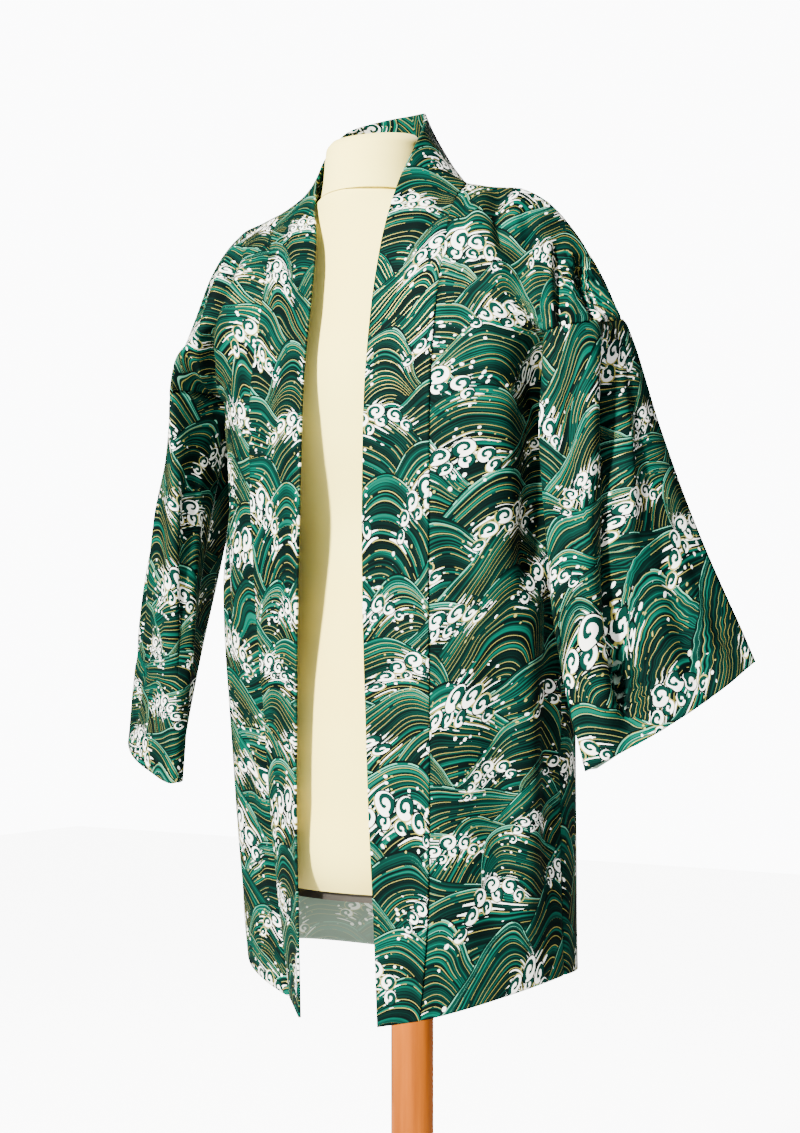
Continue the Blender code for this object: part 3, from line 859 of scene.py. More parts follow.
@dataclass(frozen=True)
class WavePrint:
    """Rows of overlapping swells with combed lines, and foam that curls over them.

    Each row of swells lies in front of the row above it. The sizes are in millimetres.
    """

    swell_width: float = 138.0
    row_rise: float = 33.0
    least_height: float = 36.0
    more_height: float = 28.0
    foam_width: float = 104.0
    foam_height: float = 72.0
    least_lean: float = 0.45
    more_lean: float = 1.7
    roundness: float = 1.2
    least_spread: float = 0.45
    more_spread: float = 1.1
    least_foam: float = 0.74
    more_foam: float = 0.24
    foam_stagger: float = 0.37
    foam_turn: float = 0.4
    least_groove: float = 1.45
    more_groove: float = 1.2
    far_away: float = 40.0
    slow_sway: float = 78.0
    quick_sway: float = 7.0
    rim: float = 1.1  # dark outline of the foam

    def swayed(self, g: NodeGraph) -> tuple[Signal, Signal]:
        """Cloth coordinates, swayed so that no swell repeats another.

        Args:
            g: the material's nodes.

        Returns:
            Across and up.
        """
        across = g.add("Attribute", output="Fac", attribute_name="across")
        up = g.add("Attribute", output="Fac", attribute_name="up")
        x, y = across, up
        slow, quick = (0.0, self.slow_sway, 190.0), (31.0, self.quick_sway, 36.0)
        for seed, sway, wave_length in (slow, quick):
            place = g.add("CombineXYZ", (across * (1 / wave_length) + seed, up * (1 / wave_length)))
            colour = g.add("TexNoise", {"Vector": place, "Scale": 1.0, "Detail": 0.0}, "Color",
                           noise_dimensions="2D")
            x = x + (g.add("SeparateColor", (colour,), 0) - 0.5) * sway
            y = y + (g.add("SeparateColor", (colour,), 1) - 0.5) * sway
        return x, y

    @staticmethod
    def lot(g: NodeGraph, row: Signal, column: Signal, seed: float) -> list[Signal]:
        """Three random numbers for a cell.

        Args:
            g: the material's nodes.
            row: of the cell.
            column: of the cell.
            seed: of this cell's kind.

        Returns:
            The numbers, 0 to 1.
        """
        place = g.add("CombineXYZ", (row, column, seed))
        colour = g.add("TexWhiteNoise", {"Vector": place}, "Color")
        return [g.add("SeparateColor", (colour,), i) for i in range(3)]

    def row(self, g: NodeGraph, x: Signal, y: Signal, row: Signal) -> tuple[Signal, Signal, Signal]:
        """How far a point is below a row's crest, its combed line, and the swell's own number.

        Args:
            g: the material's nodes.
            x: cloth coordinate across.
            y: cloth coordinate up.
            row: number of the row.

        Returns:
            The three.
        """
        along = x * (1 / self.swell_width) + row * 0.5
        column = along.math("FLOOR")
        share = along - column
        height, lean, own = self.lot(g, row, column, 3.0)
        hump = (share.math("POWER", lean * self.more_lean + self.least_lean) * np.pi).math("SINE")
        hump = hump.math("MAXIMUM", 0.0).math("POWER", self.roundness)
        crest = row * self.row_rise + hump * (height * self.more_height + self.least_height)
        below = crest - y
        spread = (own > 0.5).choose(share, 1.0 - share)
        return below, below / (spread * self.more_spread + self.least_spread), own

    def swells(self, g: NodeGraph, x: Signal, y: Signal) -> tuple[Signal, Signal, Signal, Signal]:
        """Depth below the crest that shows, combed line, own number, and height over the next.

        Args:
            g: the material's nodes.
            x: cloth coordinate across.
            y: cloth coordinate up.

        Returns:
            The four.
        """
        base = (y * (1 / self.row_rise)).math("FLOOR")
        front, middle, back = (self.row(g, x, y, base + step) for step in (-1.0, 0.0, 1.0))
        in_front, in_middle = front[0] > 0.0, middle[0] > 0.0
        depth, line, own = (
            in_front.choose(a, in_middle.choose(b, c)) for a, b, c in zip(front, middle, back)
        )
        over = in_front.choose(30.0, in_middle.choose(
            front[0] * -1.0, front[0].math("MAXIMUM", middle[0]) * -1.0))
        return depth, line, own, over

    @staticmethod
    def polar(x: Signal, y: Signal) -> tuple[Signal, Signal]:
        """Distance from the origin, and the turn round it in degrees."""
        return (x * x + y * y).math("SQRT"), y.math("ARCTAN2", x) * (180 / np.pi)

    def foam(self, g: NodeGraph, x: Signal, y: Signal) -> tuple[Signal, Signal, Signal]:
        """Where foam covers the swells, where it is white, and how far a point is from it.

        Args:
            g: the material's nodes.
            x: cloth coordinate across.
            y: cloth coordinate up.

        Returns:
            The three.
        """
        wide, tall = self.foam_width, self.foam_height
        row = (y * (1 / tall)).math("FLOOR")
        along = x * (1 / wide) + row * self.foam_stagger
        column = along.math("FLOOR")
        flip, turn, size = self.lot(g, row, column, 11.0)
        side = (flip > 0.5) * 2.0 - 1.0
        size = size * self.more_foam + self.least_foam
        right = ((along - column) - 0.5) * side * wide / size
        up = (y * (1 / tall) - row - 0.5) * tall / size
        angle = (turn - 0.5) * self.foam_turn
        cosine, sine = angle.math("COSINE"), angle.math("SINE")
        right, up = right * cosine + up * sine, up * cosine - right * sine

        white, cover, nearest = right * 0.0, right * 0.0, self.far_away
        for curl in CURLS:
            distance, turn = self.polar(right - curl.x, up - curl.y)
            round_it = (turn * (curl.hand / 360) - curl.opening * curl.hand / 360).math("FRACT")
            spiral = round_it * (0.80 * curl.radius) + 0.14 * curl.radius
            groove = (spiral - distance).math("ABSOLUTE")
            out = distance - curl.radius
            inked = groove > round_it * round_it * self.more_groove + self.least_groove
            inked = (out < 0.0) & inked
            covered = out < self.rim
            white = covered.choose(inked, white)
            cover = cover.math("MAXIMUM", covered)
            nearest = out.math("MINIMUM", nearest)
        return cover, white, nearest


# ---- materials -------------------------------------------------------------------------------


class Stroke(NamedTuple):
    """Broken lines drawn along the comb, where noise along it is above a level."""

    start: float  # place in the noise
    scale: float  # of the noise, for each millimetre
    level: float
    rise: float  # of the level, for each millimetre away

    def drawn(self, line: Signal, away: Signal) -> Signal:
        """The mask of the lines, which thin out with distance."""
        return (line + self.start).noise(self.scale, 1.0) > away * self.rise + self.level


@dataclass(frozen=True)
class PrintedCotton:
    """Plain-woven cotton, screen printed on its right side.

    The eye sees a matte cloth with a faint thread, crisp flat inks, and a soft glint on the
    gilt lines alone. The print shows through pale on the wrong side. Sizes are in millimetres.
    """

    deep: str = "000908"
    dark: str = "001310"
    middle: str = "002922"
    bright: str = "004C3E"
    pale: str = "5CA088"
    foam: str = "FFFFFA"
    gilt: str = "98904A"
    bare_cloth: str = "A9C2B4"
    show_through: float = 0.50
    roughness: float = 0.78
    gilt_roughness: float = 0.38
    gilt_metal: float = 0.3
    specular: float = 0.04
    tones: tuple[Vec2, ...] = ((0.38, 0.46), (0.46, 0.54), (0.55, 0.62))
    coarse_comb: float = 0.13  # noise for each millimetre
    fine_comb: float = 0.45
    deepest: float = 34.0
    deepening: float = 0.0030
    blotch_share: float = 0.20
    tone_shift: float = 0.045
    own_stretch: float = 173.0  # each swell reads another stretch of the noise
    brush: Stroke = Stroke(41.0, 0.55, 0.685, 0.0080)
    brush_ink: float = 0.9
    trail: Stroke = Stroke(23.0, 0.31, 0.560, 0.022)
    gilt_start: float = 90.0
    gilt_level: float = 0.44
    least_drop: float = 0.07
    more_drop: float = 0.13
    blotch_size: float = 41.7
    patch_size: float = 19.23
    gilt_gap: float = 2.9
    gilt_half_width: float = 0.25
    crest_width: float = 1.0
    shadow_width: float = 1.6
    drop_gap: float = 8.5
    drop_reach: Vec2 = (3.0, 16.0)
    trail_reach: float = 9.0
    thread_size: float = 0.667  # real threads are 0.35 apart, too fine to show
    slub_size: float = 9.09
    relief: float = 0.00012  # metres
    pattern: WavePrint = WavePrint()

    def water(self, line: Signal, depth: Signal, blotch: Signal) -> Signal:
        """Combed greens of the swells, dark deep down and bright near a crest.

        Args:
            line: place across the combed lines.
            depth: below the crest.
            blotch: broad noise that varies the tone.

        Returns:
            The colour.
        """
        value = line.noise(self.coarse_comb, 2.0) * 0.5 + line.noise(self.fine_comb, 1.0) * 0.5
        value = value - depth.math("MINIMUM", self.deepest) * self.deepening
        value = value + blotch * self.blotch_share - self.tone_shift
        colour: Paint = self.deep
        for (low, high), ink in zip(self.tones, (self.dark, self.middle, self.bright)):
            colour = value.between(low, high).tint(colour, ink)
        return colour

    def drops(self, g: NodeGraph, x: Signal, y: Signal, away: Signal) -> tuple[Signal, Signal]:
        """Spray thrown off the foam, one drop in a cell.

        Args:
            g: the material's nodes.
            x: cloth coordinate across.
            y: cloth coordinate up.
            away: distance from the foam.

        Returns:
            Where a drop is, and the drop's own number.
        """
        spot = g.add("CombineXYZ", (x * (1 / self.drop_gap), y * (1 / self.drop_gap)))
        spread, colour = (
            g.add("TexVoronoi", {"Vector": spot, "Scale": 1.0}, output, voronoi_dimensions="2D")
            for output in ("Distance", "Color")
        )
        kind = g.add("SeparateColor", (colour,), 0)
        near, far = self.drop_reach
        drop = spread < kind * self.more_drop + self.least_drop
        return drop & (away < far) & (away > near), kind

    def material(self, wrong_side: bool) -> bpy.types.Material:
        """The cotton's material.

        Args:
            wrong_side: whether it is the cloth's back, where the print shows pale.

        Returns:
            The material.
        """
        name = "printed_cotton_wrong_side" if wrong_side else "printed_cotton"
        g = NodeGraph(name, self.roughness)
        x, y = self.pattern.swayed(g)
        depth, line, own, over = self.pattern.swells(g, x, y)
        cover, white, away = self.pattern.foam(g, x, y)
        blotch, patch = (
            object_noise(g, size, 1.0) for size in (self.blotch_size, self.patch_size)
        )
        line = line + own * self.own_stretch
        colour = self.water(line, depth, blotch)

        # pale brush lines under a crest, fewer further down
        colour = (self.brush.drawn(line, depth) * self.brush_ink).tint(colour, self.pale)

        # thin gilt lines along the comb
        gilded = line.math("PINGPONG", self.gilt_gap) < self.gilt_half_width
        shown = (line + self.gilt_start).noise(self.coarse_comb) > self.gilt_level
        gilded = gilded & shown & (patch > 0.38)
        colour = gilded.tint(colour, self.gilt)

        # a pale crest with a dark line behind it
        colour = ((depth < self.crest_width) & (patch > 0.50)).tint(colour, self.pale)
        colour = (over < self.shadow_width).tint(colour, self.deep)

        # spray
        thrown, kind = self.drops(g, x, y, away)
        colour = (thrown & (blotch > 0.5)).tint(colour, (kind > 0.5).tint(self.gilt, self.foam))

        # foam that runs back along the comb
        trail = self.trail.drawn(line, away.math("MAXIMUM", 0.0))
        trail = trail & (away < self.trail_reach) & (depth > self.shadow_width)
        colour = trail.tint(colour, self.foam)

        # foam, its dark or gilt rim, and its white curls
        colour = cover.tint(colour, (patch > 0.55).tint(self.deep, self.gilt))
        colour = (cover & (away < 0.0)).tint(colour, self.middle)
        colour = white.tint(colour, self.foam)

        if wrong_side:
            pair = {0: self.show_through, 6: colour, 7: self.bare_cloth}
            colour = g.add("Mix", pair, 2, data_type="RGBA")
        else:
            metal = gilded & (1.0 - cover)
            g.wire("Metallic", metal * self.gilt_metal)
            g.wire("Roughness", metal * (self.gilt_roughness - self.roughness) + self.roughness)
        g.wire("Base Color", colour)
        g.wire("Specular IOR Level", self.specular)
        thread = object_noise(g, self.thread_size, 1.0, (1.0, 1.0, 0.45))
        slub = object_noise(g, self.slub_size, 2.0, (1.0, 1.0, 6.0))
        bumped(g, slub * 2.0 + thread, self.relief, 0.6)
        return g.material


@dataclass(frozen=True)
class FormCover:
    """Cream cotton jersey, knitted and stretched over the form.

    The eye sees a soft matte skin, a little brighter where it turns away, with no thread to
    speak of. Sizes are in millimetres.
    """

    colour: str = "FFF088"
    shade: str = "FFE67A"
    roughness: float = 0.86
    sheen: float = 0.15
    cloud_size: float = 143.0
    stitch_size: float = 1.11  # real stitches are 0.8, drawn larger to show
    relief: float = 0.0002  # metres

    def material(self) -> bpy.types.Material:
        """The cover's material.

        Returns:
            The jersey.
        """
        g = NodeGraph("form_cover", self.roughness, sheen=self.sheen)
        cloud = object_noise(g, self.cloud_size)
        g.wire("Base Color", cloud.between(0.35, 0.75).tint(self.colour, self.shade))
        bumped(g, object_noise(g, self.stitch_size, 1.0, (1.0, 1.0, 0.3)), self.relief, 0.4)
        return g.material


@dataclass(frozen=True)
class VarnishedWood:
    """Turned beech under amber varnish.

    The eye sees a warm satin surface with fine straight grain. Sizes are in millimetres, and
    `grain` squeezes the noise on each axis, most along the grain.
    """

    name: str
    light: str = "B05C00"
    dark: str = "6E3200"
    roughness: float = 0.42
    grain: Vec3 = (1.0, 1.0, 0.06)
    coat: float = 0.05
    coat_roughness: float = 0.18
    specular: float = 0.08
    fibre_size: float = 14.3
    band_size: float = 71.4
    relief: float = 0.0004  # metres

    def material(self) -> bpy.types.Material:
        """The wood's material.

        Returns:
            The wood.
        """
        g = NodeGraph(self.name, self.roughness)
        fibre = object_noise(g, self.fibre_size, 4.0, self.grain)
        band = object_noise(g, self.band_size, 2.0, self.grain)
        value = fibre * 0.45 + band * 0.55
        g.wire("Base Color", value.between(0.36, 0.64).tint(self.light, self.dark))
        g.wire("Coat Weight", self.coat)
        g.wire("Coat Roughness", self.coat_roughness)
        g.wire("Specular IOR Level", self.specular)
        bumped(g, fibre, self.relief, 0.3)
        return g.material


@dataclass(frozen=True)
class StainedBoard:
    """Dark-stained plywood that closes the form underneath: dull, with a trace of grain."""

    light: str = "332D25"
    dark: str = "1D1A16"
    roughness: float = 0.7
    grain_size: float = 16.7  # millimetres

    def material(self) -> bpy.types.Material:
        """The board's material.

        Returns:
            The plywood.
        """
        g = NodeGraph("form_board", self.roughness)
        grain = object_noise(g, self.grain_size, 3.0, (0.1, 1.0, 1.0))
        g.wire("Base Color", grain.between(0.35, 0.7).tint(self.dark, self.light))
        return g.material


@dataclass(frozen=True)
class PalePaper:
    """The studio's paper floor, which looks as pale as the sky behind it."""

    colour: str = "F6F6F5"
    shade: str = "F1F1F0"
    roughness: float = 0.9
    cloud_size: float = 667.0  # millimetres
    glow: float = 9.0

    def material(self) -> bpy.types.Material:
        """The floor's material.

        Returns:
            The paper.
        """
        g = NodeGraph("pale_paper", self.roughness)
        g.wire("Base Color", object_noise(g, self.cloud_size, 1.0).tint(self.colour, self.shade))
        g.wire("Emission Color", "FFFFFF")
        g.wire("Emission Strength", g.add("LightPath", output="Is Camera Ray") * self.glow)
        return g.material


# ---- pieces ----------------------------------------------------------------------------------


def lengths(net: Array, axis: int) -> Array:
    """Distance along one axis of a grid of points, from its start.

    Args:
        net: the grid.
        axis: 0 down it, 1 across.

    Returns:
        The distance at each point.
    """
    step = np.linalg.norm(np.diff(net, axis=axis), axis=-1)
    total = np.cumsum(step, axis=axis)
    return np.concatenate([np.zeros_like(total.take([0], axis=axis)), total], axis=axis)


def normals(net: Array, closed: bool) -> Array:
    """Unit normals of a grid of points, columns first.

    Args:
        net: the grid.
        closed: whether its rows are rings.

    Returns:
        The normals.
    """
    if closed:
        wide = np.concatenate([net[:, -1:], net, net[:, :1]], axis=1)
        across = (wide[:, 2:] - wide[:, :-2]) / 2
    else:
        across = np.gradient(net, axis=1)
    found = np.cross(across, np.gradient(net, axis=0))
    return found / np.maximum(np.linalg.norm(found, axis=-1, keepdims=True), 1e-12)


def sewn_on(net: Array, neighbours: Array, reach: float = 0.009, run: float = 0.035) -> Array:
    """A sleeve with its top ring drawn out to the panels that it is sewn to.

    Args:
        net: the sleeve's rings, top first.
        neighbours: points of the panels round it.
        reach: the widest gap that is closed.
        run: how far down the sleeve the change fades out.

    Returns:
        The changed rings.
    """
    gap = np.array([neighbours[((neighbours - spot) ** 2).sum(axis=1).argmin()] - spot
                    for spot in net[0]])
    gap *= ease((reach - np.linalg.norm(gap, axis=1)) / (0.25 * reach))[:, None]
    gap = sum(np.roll(gap, shift, axis=0) for shift in range(-2, 3)) / 5
    fade = ease(1 - lengths(net, 0) / run)
    return net + fade[..., None] * gap


@dataclass
class ClothPanel:
    """One panel of the jacket as a finely shaped shell of cloth.

    Args:
        node: the CAD node that it replaces.
        net: its middle surface.
        wall: its thickness.
        flat: width and length of its cut, in metres; not used.
        area: the cut's flat area, in square metres; not used.
        start: where the print starts on it, in metres.
        outward: 1 where across x down points out of the jacket, otherwise -1.
        closed: whether its rows are rings.
        seams: edges that are sewn, of "first", "last" and "top".
        centred: whether across is measured from the middle column.
        mirrored_ends: whether the piece runs up one side and down the other, as the band does.
    """

    node: str
    net: Array
    wall: float
    flat: Vec2
    area: float
    start: Vec2
    outward: float
    closed: bool = False
    seams: tuple[str, ...] = ()
    centred: bool = False
    mirrored_ends: bool = False
    made: bpy.types.Object | None = None

    def cloth_coordinates(self) -> Array:
        """Distance across the panel and above its hem, at each point.

        Returns:
            Both, in metres.
        """
        across = lengths(self.net, 1)
        if self.centred:
            middle = self.net.shape[1] // 2
            across = across - across[:, middle : middle + 1]
        down = lengths(self.net, 0)
        up = down[-1:] - down
        if self.mirrored_ends:
            up = np.minimum(down, up)
        return np.stack([across, np.broadcast_to(up, across.shape)], axis=-1)

    def creased(self, cloth: Array) -> Array:
        """The surface with its creases, slow undulation and rolled seams.

        Args:
            cloth: its cloth coordinates.

        Returns:
            The points.
        """
        depth = np.zeros(cloth.shape[:2])
        for crease in CREASES[self.node]:
            path = through(np.array(crease.path) / 1000, np.linspace(0, 1, 60))
            distance, along = path_distance(cloth, path)
            share = distance / (crease.width / 1000)
            fade = ease(np.minimum(along, 1.0 - along) / CREASE_FADE)
            lip = LIP_HEIGHT * np.exp(-((share - LIP_PLACE) ** 2))
            depth += crease.depth / 1000 * fade * (np.exp(-(share**2)) - lip)
        u, v = cloth[..., 0], cloth[..., 1]
        shift = self.start[0] * 40  # so that no two panels undulate alike
        depth += WAVE_HIGH * np.sin(41 * u + 7 * v + shift) * np.sin(9 * v + 1.3 + shift)
        depth += WAVE_LOW * np.sin(23 * v - 55 * u + 2 * shift)
        edges = {
            "first": lengths(self.net, 1),
            "last": lengths(self.net[:, ::-1], 1)[:, ::-1],
            "top": lengths(self.net, 0),
        }
        for name in self.seams:
            depth += SEAM_DIP * np.exp(-((edges[name] / SEAM_ROLL) ** 2))
        out = normals(self.net, self.closed) * self.outward
        return self.net - depth[..., None] * out

    def build(self) -> None:
        """Makes the shell and writes its cloth coordinates on it, in millimetres."""
        cloth = self.cloth_coordinates()
        surface = self.creased(cloth)
        rows, columns = surface.shape[:2]
        i, j = np.mgrid[0 : rows - 1, 0 : columns if self.closed else columns - 1]
        k = (j + 1) % columns
        quads = np.stack([i * columns + j, (i + 1) * columns + j,
                          (i + 1) * columns + k, i * columns + k], axis=-1).reshape(-1, 4)
        if self.outward > 0:
            quads = quads[:, ::-1]
        mesh = bpy.data.meshes.new(f"{self.node}_cloth")
        mesh.vertices.add(rows * columns)
        mesh.vertices.foreach_set("co", surface.reshape(-1).astype(np.float32))
        mesh.loops.add(quads.size)
        mesh.loops.foreach_set("vertex_index", quads.reshape(-1).astype(np.int32))
        mesh.polygons.add(len(quads))
        mesh.polygons.foreach_set("loop_start", np.arange(0, quads.size, 4, dtype=np.int32))
        mesh.update(calc_edges=True)
        mesh.validate()
        mesh.shade_smooth()
        for name, values in zip(("across", "up"), np.moveaxis(cloth + self.start, -1, 0)):
            layer = mesh.attributes.new(name, "FLOAT", "POINT")
            layer.data.foreach_set("value", (values * 1000.0).reshape(-1).astype(np.float32))
        self.made = bpy.data.objects.new(f"{self.node}_cloth", mesh)
        bpy.context.scene.collection.objects.link(self.made)
        thick = self.made.modifiers.new("wall", "SOLIDIFY")
        thick.thickness = self.wall
        thick.offset = 0.0
        thick.material_offset = 1

    def dress(self, right_side: bpy.types.Material, wrong_side: bpy.types.Material) -> None:
        """Gives the shell its materials and tells the frame what it is.

        Args:
            right_side: of the cloth.
            wrong_side: of the cloth.
        """
        self.made.data.materials.append(right_side)
        self.made.data.materials.append(wrong_side)
        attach(self.made, "root")
        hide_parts(self.node)
        log.info("%s: %d points", self.made.name, len(self.made.data.vertices))


# Each cut: width, length and flat area in metres, with a left and right pair averaged. Lengths
# and areas are the panels' before they are creased. The body widths are straight across at the
# widest, a sleeve's is its greatest girth, and the band's is its mean.
BACK_CUT = ((0.55, 0.85), 0.408)
FRONT_CUT = ((0.19, 0.81), 0.117)
SLEEVE_CUT = ((0.37, 0.39), 0.121)
BAND_CUT = ((0.065, 1.94), 0.123)

# Where the print starts on each panel, in metres.
PRINT_START = {
    "back": (0.150, 0.020), "collar_band": (0.071, 0.214),
    "front_left": (0.236, 0.118), "front_right": (0.020, 0.262),
    "sleeve_left": (0.110, 0.080), "sleeve_right": (0.205, 0.190),
}


def shares(*counts: int) -> list[Array]:
    """Even shares from 0 to 1, one array for each count."""
    return [np.linspace(0, 1, count) for count in counts]


@dataclass
class Jacket:
    """The haori: two fronts, a back, two sleeves and the collar band.

    Each grid is given by its points across and down; the back's and the band's by half of it.
    """

    back_grid: tuple[int, int] = (87, 288)
    band_grid: tuple[int, int] = (30, 440)
    front_grid: tuple[int, int] = (80, 400)
    sleeve_grid: tuple[int, int] = (160, 178)
    halves: tuple[HaoriCut, ...] = tuple(HaoriCut(side) for side in Side)
    finish: PrintedCotton = field(default_factory=PrintedCotton)
    panels: list[ClothPanel] = field(default_factory=list)

    def add(self, node: str, net: Array, cut: tuple[Vec2, float], wall: float = CLOTH_WALL,
            **settings: Any) -> None:
        """Adds a panel.

        Args:
            node: the CAD node that it replaces.
            net: its middle surface.
            cut: its flat size and area.
            wall: its thickness.
            settings: its other fields.
        """
        self.panels.append(ClothPanel(node, net, wall, *cut, PRINT_START[node], **settings))

    def back(self) -> Array:
        """The whole back, from the right side seam to the left one."""
        left, right = (half.half_back(*shares(*self.back_grid)) for half in self.halves)
        return np.concatenate([right[:, :0:-1], (left[:, :1] + right[:, :1]) / 2, left[:, 1:]], 1)

    def band(self) -> Array:
        """The whole band, from the left hem over the nape to the right one."""
        left, right = (half.half_band(*shares(*self.band_grid)) for half in self.halves)
        return np.concatenate([left[::-1], right[1:]])

    def build(self) -> None:
        """Works out every panel and makes it."""
        sewn = ("first", "last", "top")
        self.add("back", self.back(), BACK_CUT, outward=1, seams=sewn, centred=True)
        self.add("collar_band", self.band(), BAND_CUT, BAND_WALL, outward=1, mirrored_ends=True)
        for half in self.halves:
            self.add(f"front_{half.side.name.lower()}", half.front(*shares(*self.front_grid)),
                     FRONT_CUT, outward=-half.side.value, seams=sewn)
        around = np.concatenate([
            panel.net.reshape(-1, 3) for panel in self.panels if panel.node != "collar_band"
        ])
        points, rings = self.sleeve_grid
        for half in self.halves:
            net = sewn_on(half.sleeve(*shares(rings), points), around)
            self.add(f"sleeve_{half.side.name.lower()}", net, SLEEVE_CUT,
                     outward=-half.side.value, closed=True, seams=("top",))
        for panel in self.panels:
            panel.build()

    def dress(self) -> None:
        """Gives each panel both sides of the cotton."""
        right_side, wrong_side = (self.finish.material(wrong) for wrong in (False, True))
        for panel in self.panels:
            folded_double = panel.node == "collar_band"  # its right side shows on both faces
            panel.dress(right_side, right_side if folded_double else wrong_side)


@dataclass
class DressForm:
    """The limbless form: torso, neck cap and base board."""

    points: int = 112
    blank_radius: float = 0.1
    crown_inset: float = 0.022
    crown_share: float = 0.72
    cap_dome: float = 0.002
    torso_cuts: tuple[int, ...] = (74, 1)
    cap_cuts: tuple[int, ...] = (24,)
    torso: bpy.types.Object | None = None
    cap: bpy.types.Object | None = None

    def torso_point(self, turn: Array, z: Array) -> Array:
        """The torso's surface at angles and heights.

        Args:
            turn: angles from straight ahead.
            z: heights.

        Returns:
            The points.
        """
        knots = [row.z for row in TORSO]
        half, front, back, square = (
            smooth(knots, [getattr(row, name) for row in TORSO], z)
            for name in ("half_width", "front", "back", "squareness")
        )
        sine, cosine = np.sin(turn), np.cos(turn)
        x = half * np.sign(sine) * np.abs(sine) ** (2 / square)
        x = x + LEAN * ease((z - LEAN_START) / LEAN_SPAN)
        centre = (front + back) / 2
        y = centre - (back - centre) * np.sign(cosine) * np.abs(cosine) ** (2 / square)
        return np.stack([x, y, z], axis=-1)

    @staticmethod
    def cap_point(turn: Array, z: Array) -> Array:
        """The neck cap's surface at angles and heights.

        Args:
            turn: angles from straight ahead.
            z: heights.

        Returns:
            The points.
        """
        knots, radii = zip(*NECK)
        radius = smooth(knots, radii, z)
        x = NECK_CENTRE[0] + radius * np.sin(turn)
        y = NECK_CENTRE[1] - radius * np.cos(turn)
        rise = (z - NECK_SEAM) / (NECK_TOP - NECK_SEAM)
        return np.stack([x, y, z + NECK_TILT * rise * (y - NECK_CENTRE[1])], axis=-1)

    @staticmethod
    def select(made: bpy.types.Object, kind: str, wanted: Callable) -> None:
        """Selects edges or faces in edit mode, and nothing else.

        Args:
            made: the object in edit mode.
            kind: "EDGE" or "FACE".
            wanted: says of one whether it is selected.
        """
        bpy.ops.mesh.select_all(action="DESELECT")
        bpy.ops.mesh.select_mode(type=kind)
        shape = bmesh.from_edit_mesh(made.data)
        for item in shape.edges if kind == "EDGE" else shape.faces:
            item.select_set(wanted(item))
        bmesh.update_edit_mesh(made.data)

    @staticmethod
    def upright(edge: bmesh.types.BMEdge) -> bool:
        """Whether an edge runs up the cylinder."""
        return abs(edge.verts[0].co.z - edge.verts[1].co.z) > 1e-6

    def turned(
        self, name: str, low: float, high: float, cuts: Sequence[int],
        surface: Callable[[Array, Array], Array], dome: float,
    ) -> bpy.types.Object:
        """A primitive cylinder, ringed and inset in edit mode and pulled out to a surface.

        Args:
            name: of the object.
            low: height of the lowest ring.
            high: height of the highest ring.
            cuts: rings cut between them, one number for each round of cuts.
            surface: gives the point at an angle and a height.
            dome: how far the top swells above its rim.

        Returns:
            The object.
        """
        bpy.ops.object.select_all(action="DESELECT")
        bpy.ops.mesh.primitive_cylinder_add(
            vertices=self.points, radius=self.blank_radius, depth=high - low, location=(0, 0, 0)
        )
        made = bpy.context.active_object
        made.name = made.data.name = name
        bpy.ops.object.mode_set(mode="EDIT")
        for number in cuts:
            self.select(made, "EDGE", self.upright)
            bpy.ops.mesh.subdivide(number_cuts=number)
        self.select(made, "FACE", lambda face: face.normal.z > 0.9)
        bpy.ops.mesh.inset(thickness=self.crown_inset)
        bpy.ops.object.mode_set(mode="OBJECT")

        verts = made.data.vertices
        places, crown = np.empty(len(verts) * 3), np.empty(len(verts), bool)
        verts.foreach_get("co", places)
        verts.foreach_get("select", crown)
        places = places.reshape(-1, 3)
        turn = np.arctan2(places[:, 0], -places[:, 1])
        moved = surface(turn, np.clip(places[:, 2] + (low + high) / 2, low, high))
        centre = moved[crown].mean(axis=0)
        moved[crown] = centre + (moved[crown] - centre) * self.crown_share + (0, 0, dome)
        verts.foreach_set("co", moved.reshape(-1))
        made.data.update()
        made.data.shade_smooth()
        made.data.set_sharp_from_angle(angle=np.radians(50))
        return made

    def build(self) -> None:
        """Makes the torso's and the neck cap's covers."""
        self.torso = self.turned(
            "form_torso_cover", TORSO[0].z, TORSO[-1].z, self.torso_cuts,
            self.torso_point, 0.0)
        self.cap = self.turned(
            "form_neck_cover", NECK_SEAM, NECK_TOP, self.cap_cuts,
            self.cap_point, self.cap_dome)

    def dress(self) -> None:
        """Covers the form and stains its board."""
        cover = FormCover().material()
        for made, node in ((self.torso, "form_torso"), (self.cap, "form_neck_cap")):
            made.data.materials.clear()
            made.data.materials.append(cover)
            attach(made, "root")
            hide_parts(node)
            log.info("%s: %d points", made.name, len(made.data.vertices))
        finish_node("form_base_board", StainedBoard().material())


def finish_node(name: str, material: bpy.types.Material) -> None:
    """Gives a CAD node that stays its material.

    Args:
        name: of the node.
        material: its finish.
    """
    node = bpy.data.objects[name]
    node.data.materials.clear()
    node.data.materials.append(material)
    log.info("%s: %s", name, material.name)


@dataclass
class Stand:
    """The wooden pole and its round base."""

    def dress(self) -> None:
        """Varnishes both."""
        finish_node("stand_pole", VarnishedWood("pole_wood").material())
        finish_node("stand_base", VarnishedWood("base_wood", grain=(0.06, 1.0, 1.0)).material())
        for name in ("stand_pole", "stand_base"):
            node = bpy.data.objects[name]
            node.data.shade_smooth()
            node.data.set_sharp_from_angle(angle=np.radians(30))


@dataclass(frozen=True)
class Lamp:
    """A soft area light that points at the jacket."""

    name: str
    place: Vec3
    size: float
    power: float
    colour: str


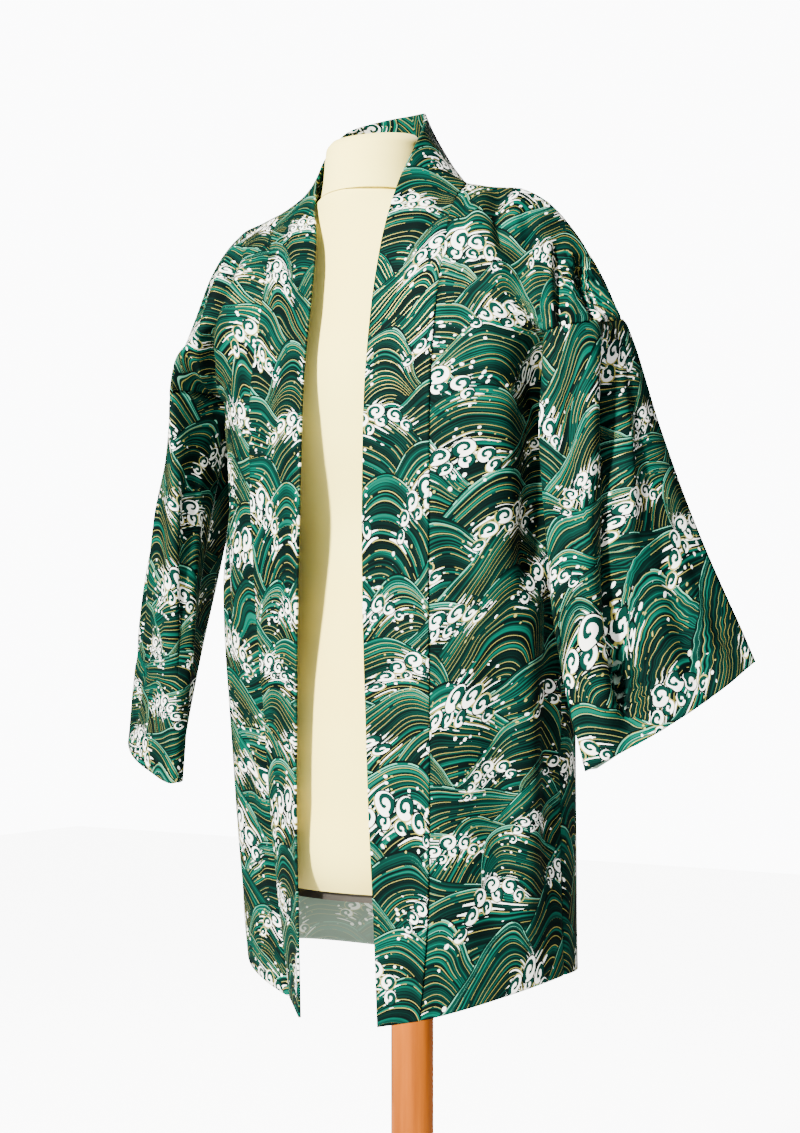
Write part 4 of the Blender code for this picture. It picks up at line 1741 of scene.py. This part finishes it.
@dataclass
class Studio:
    """Plain floor, soft lights and the camera."""

    lamps: tuple[Lamp, ...] = (
        Lamp("key", (-0.25, -2.98, 2.80), 0.25, 700.0, "FFFCF4"),
        Lamp("fill", (2.50, -1.60, 1.50), 2.2, 18.0, "F3F7FF"),
        Lamp("back", (-1.60, 2.40, 2.40), 1.8, 60.0, "FFFFFF"),
    )
    camera_place: Vec3 = (0.927, -1.484, 0.950)
    camera_turn: float = 32.0
    lens: float = 55.6
    shift: Vec2 = (-0.0106, 0.0825)
    sensor: float = 36.0
    aim: Vec3 = (0.0, 0.0, 1.0)
    floor_size: float = 12.0
    floor_drop: float = 0.0005  # keeps the floor just clear of the base
    sky: str = "F7F8FA"
    sky_light: float = 0.12
    sky_seen: float = 12.0

    def build(self) -> None:
        """Makes the floor, the lights, the world and the camera."""
        bpy.ops.mesh.primitive_plane_add(size=self.floor_size, location=(0, 0, -self.floor_drop))
        floor = bpy.context.active_object
        floor.name = "floor"
        floor.data.materials.append(PalePaper().material())
        for lamp in self.lamps:
            self.light(lamp)
        self.light_sky()
        self.seat_camera()

    def light_sky(self) -> None:
        """Makes a sky that looks white and lights the object only faintly."""
        world = bpy.data.worlds.new("studio")
        world.use_nodes = True
        tree = world.node_tree
        sky = tree.nodes["Background"]
        sky.inputs["Color"].default_value = linear(self.sky)
        seen = tree.nodes.new("ShaderNodeLightPath").outputs["Is Camera Ray"]
        level = tree.nodes.new("ShaderNodeMapRange")
        level.inputs["To Min"].default_value = self.sky_light
        level.inputs["To Max"].default_value = self.sky_seen
        tree.links.new(seen, level.inputs["Value"])
        tree.links.new(level.outputs["Result"], sky.inputs["Strength"])
        bpy.context.scene.world = world

    def seat_camera(self) -> None:
        """Makes the camera, level, in front of the jacket's left."""
        camera = bpy.data.cameras.new("camera")
        camera.lens = self.lens
        camera.sensor_width = self.sensor
        camera.shift_x, camera.shift_y = self.shift
        seat = bpy.data.objects.new("camera", camera)
        seat.location = self.camera_place
        seat.rotation_euler = (np.pi / 2, 0.0, np.radians(self.camera_turn))
        bpy.context.scene.collection.objects.link(seat)
        bpy.context.scene.camera = seat

    def light(self, lamp: Lamp) -> None:
        """Hangs one lamp, aimed at the middle of the jacket.

        Args:
            lamp: what to hang.
        """
        data = bpy.data.lights.new(lamp.name, "AREA")
        data.size = lamp.size
        data.energy = lamp.power
        data.color = linear(lamp.colour)[:3]
        hung = bpy.data.objects.new(lamp.name, data)
        hung.location = lamp.place
        aim = np.array(self.aim) - np.array(lamp.place)
        flat = np.hypot(aim[0], aim[1])
        hung.rotation_euler = (np.arctan2(flat, -aim[2]), 0.0, np.arctan2(-aim[0], aim[1]))
        bpy.context.scene.collection.objects.link(hung)


def main() -> None:
    """Builds and finishes everything in order."""
    logging.basicConfig(level=logging.INFO, format="%(name)s: %(message)s")
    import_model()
    jacket, form, stand, studio = Jacket(), DressForm(), Stand(), Studio()
    form.build()
    jacket.build()
    form.dress()
    jacket.dress()
    stand.dress()
    studio.build()


if __name__ == "__main__":
    main()
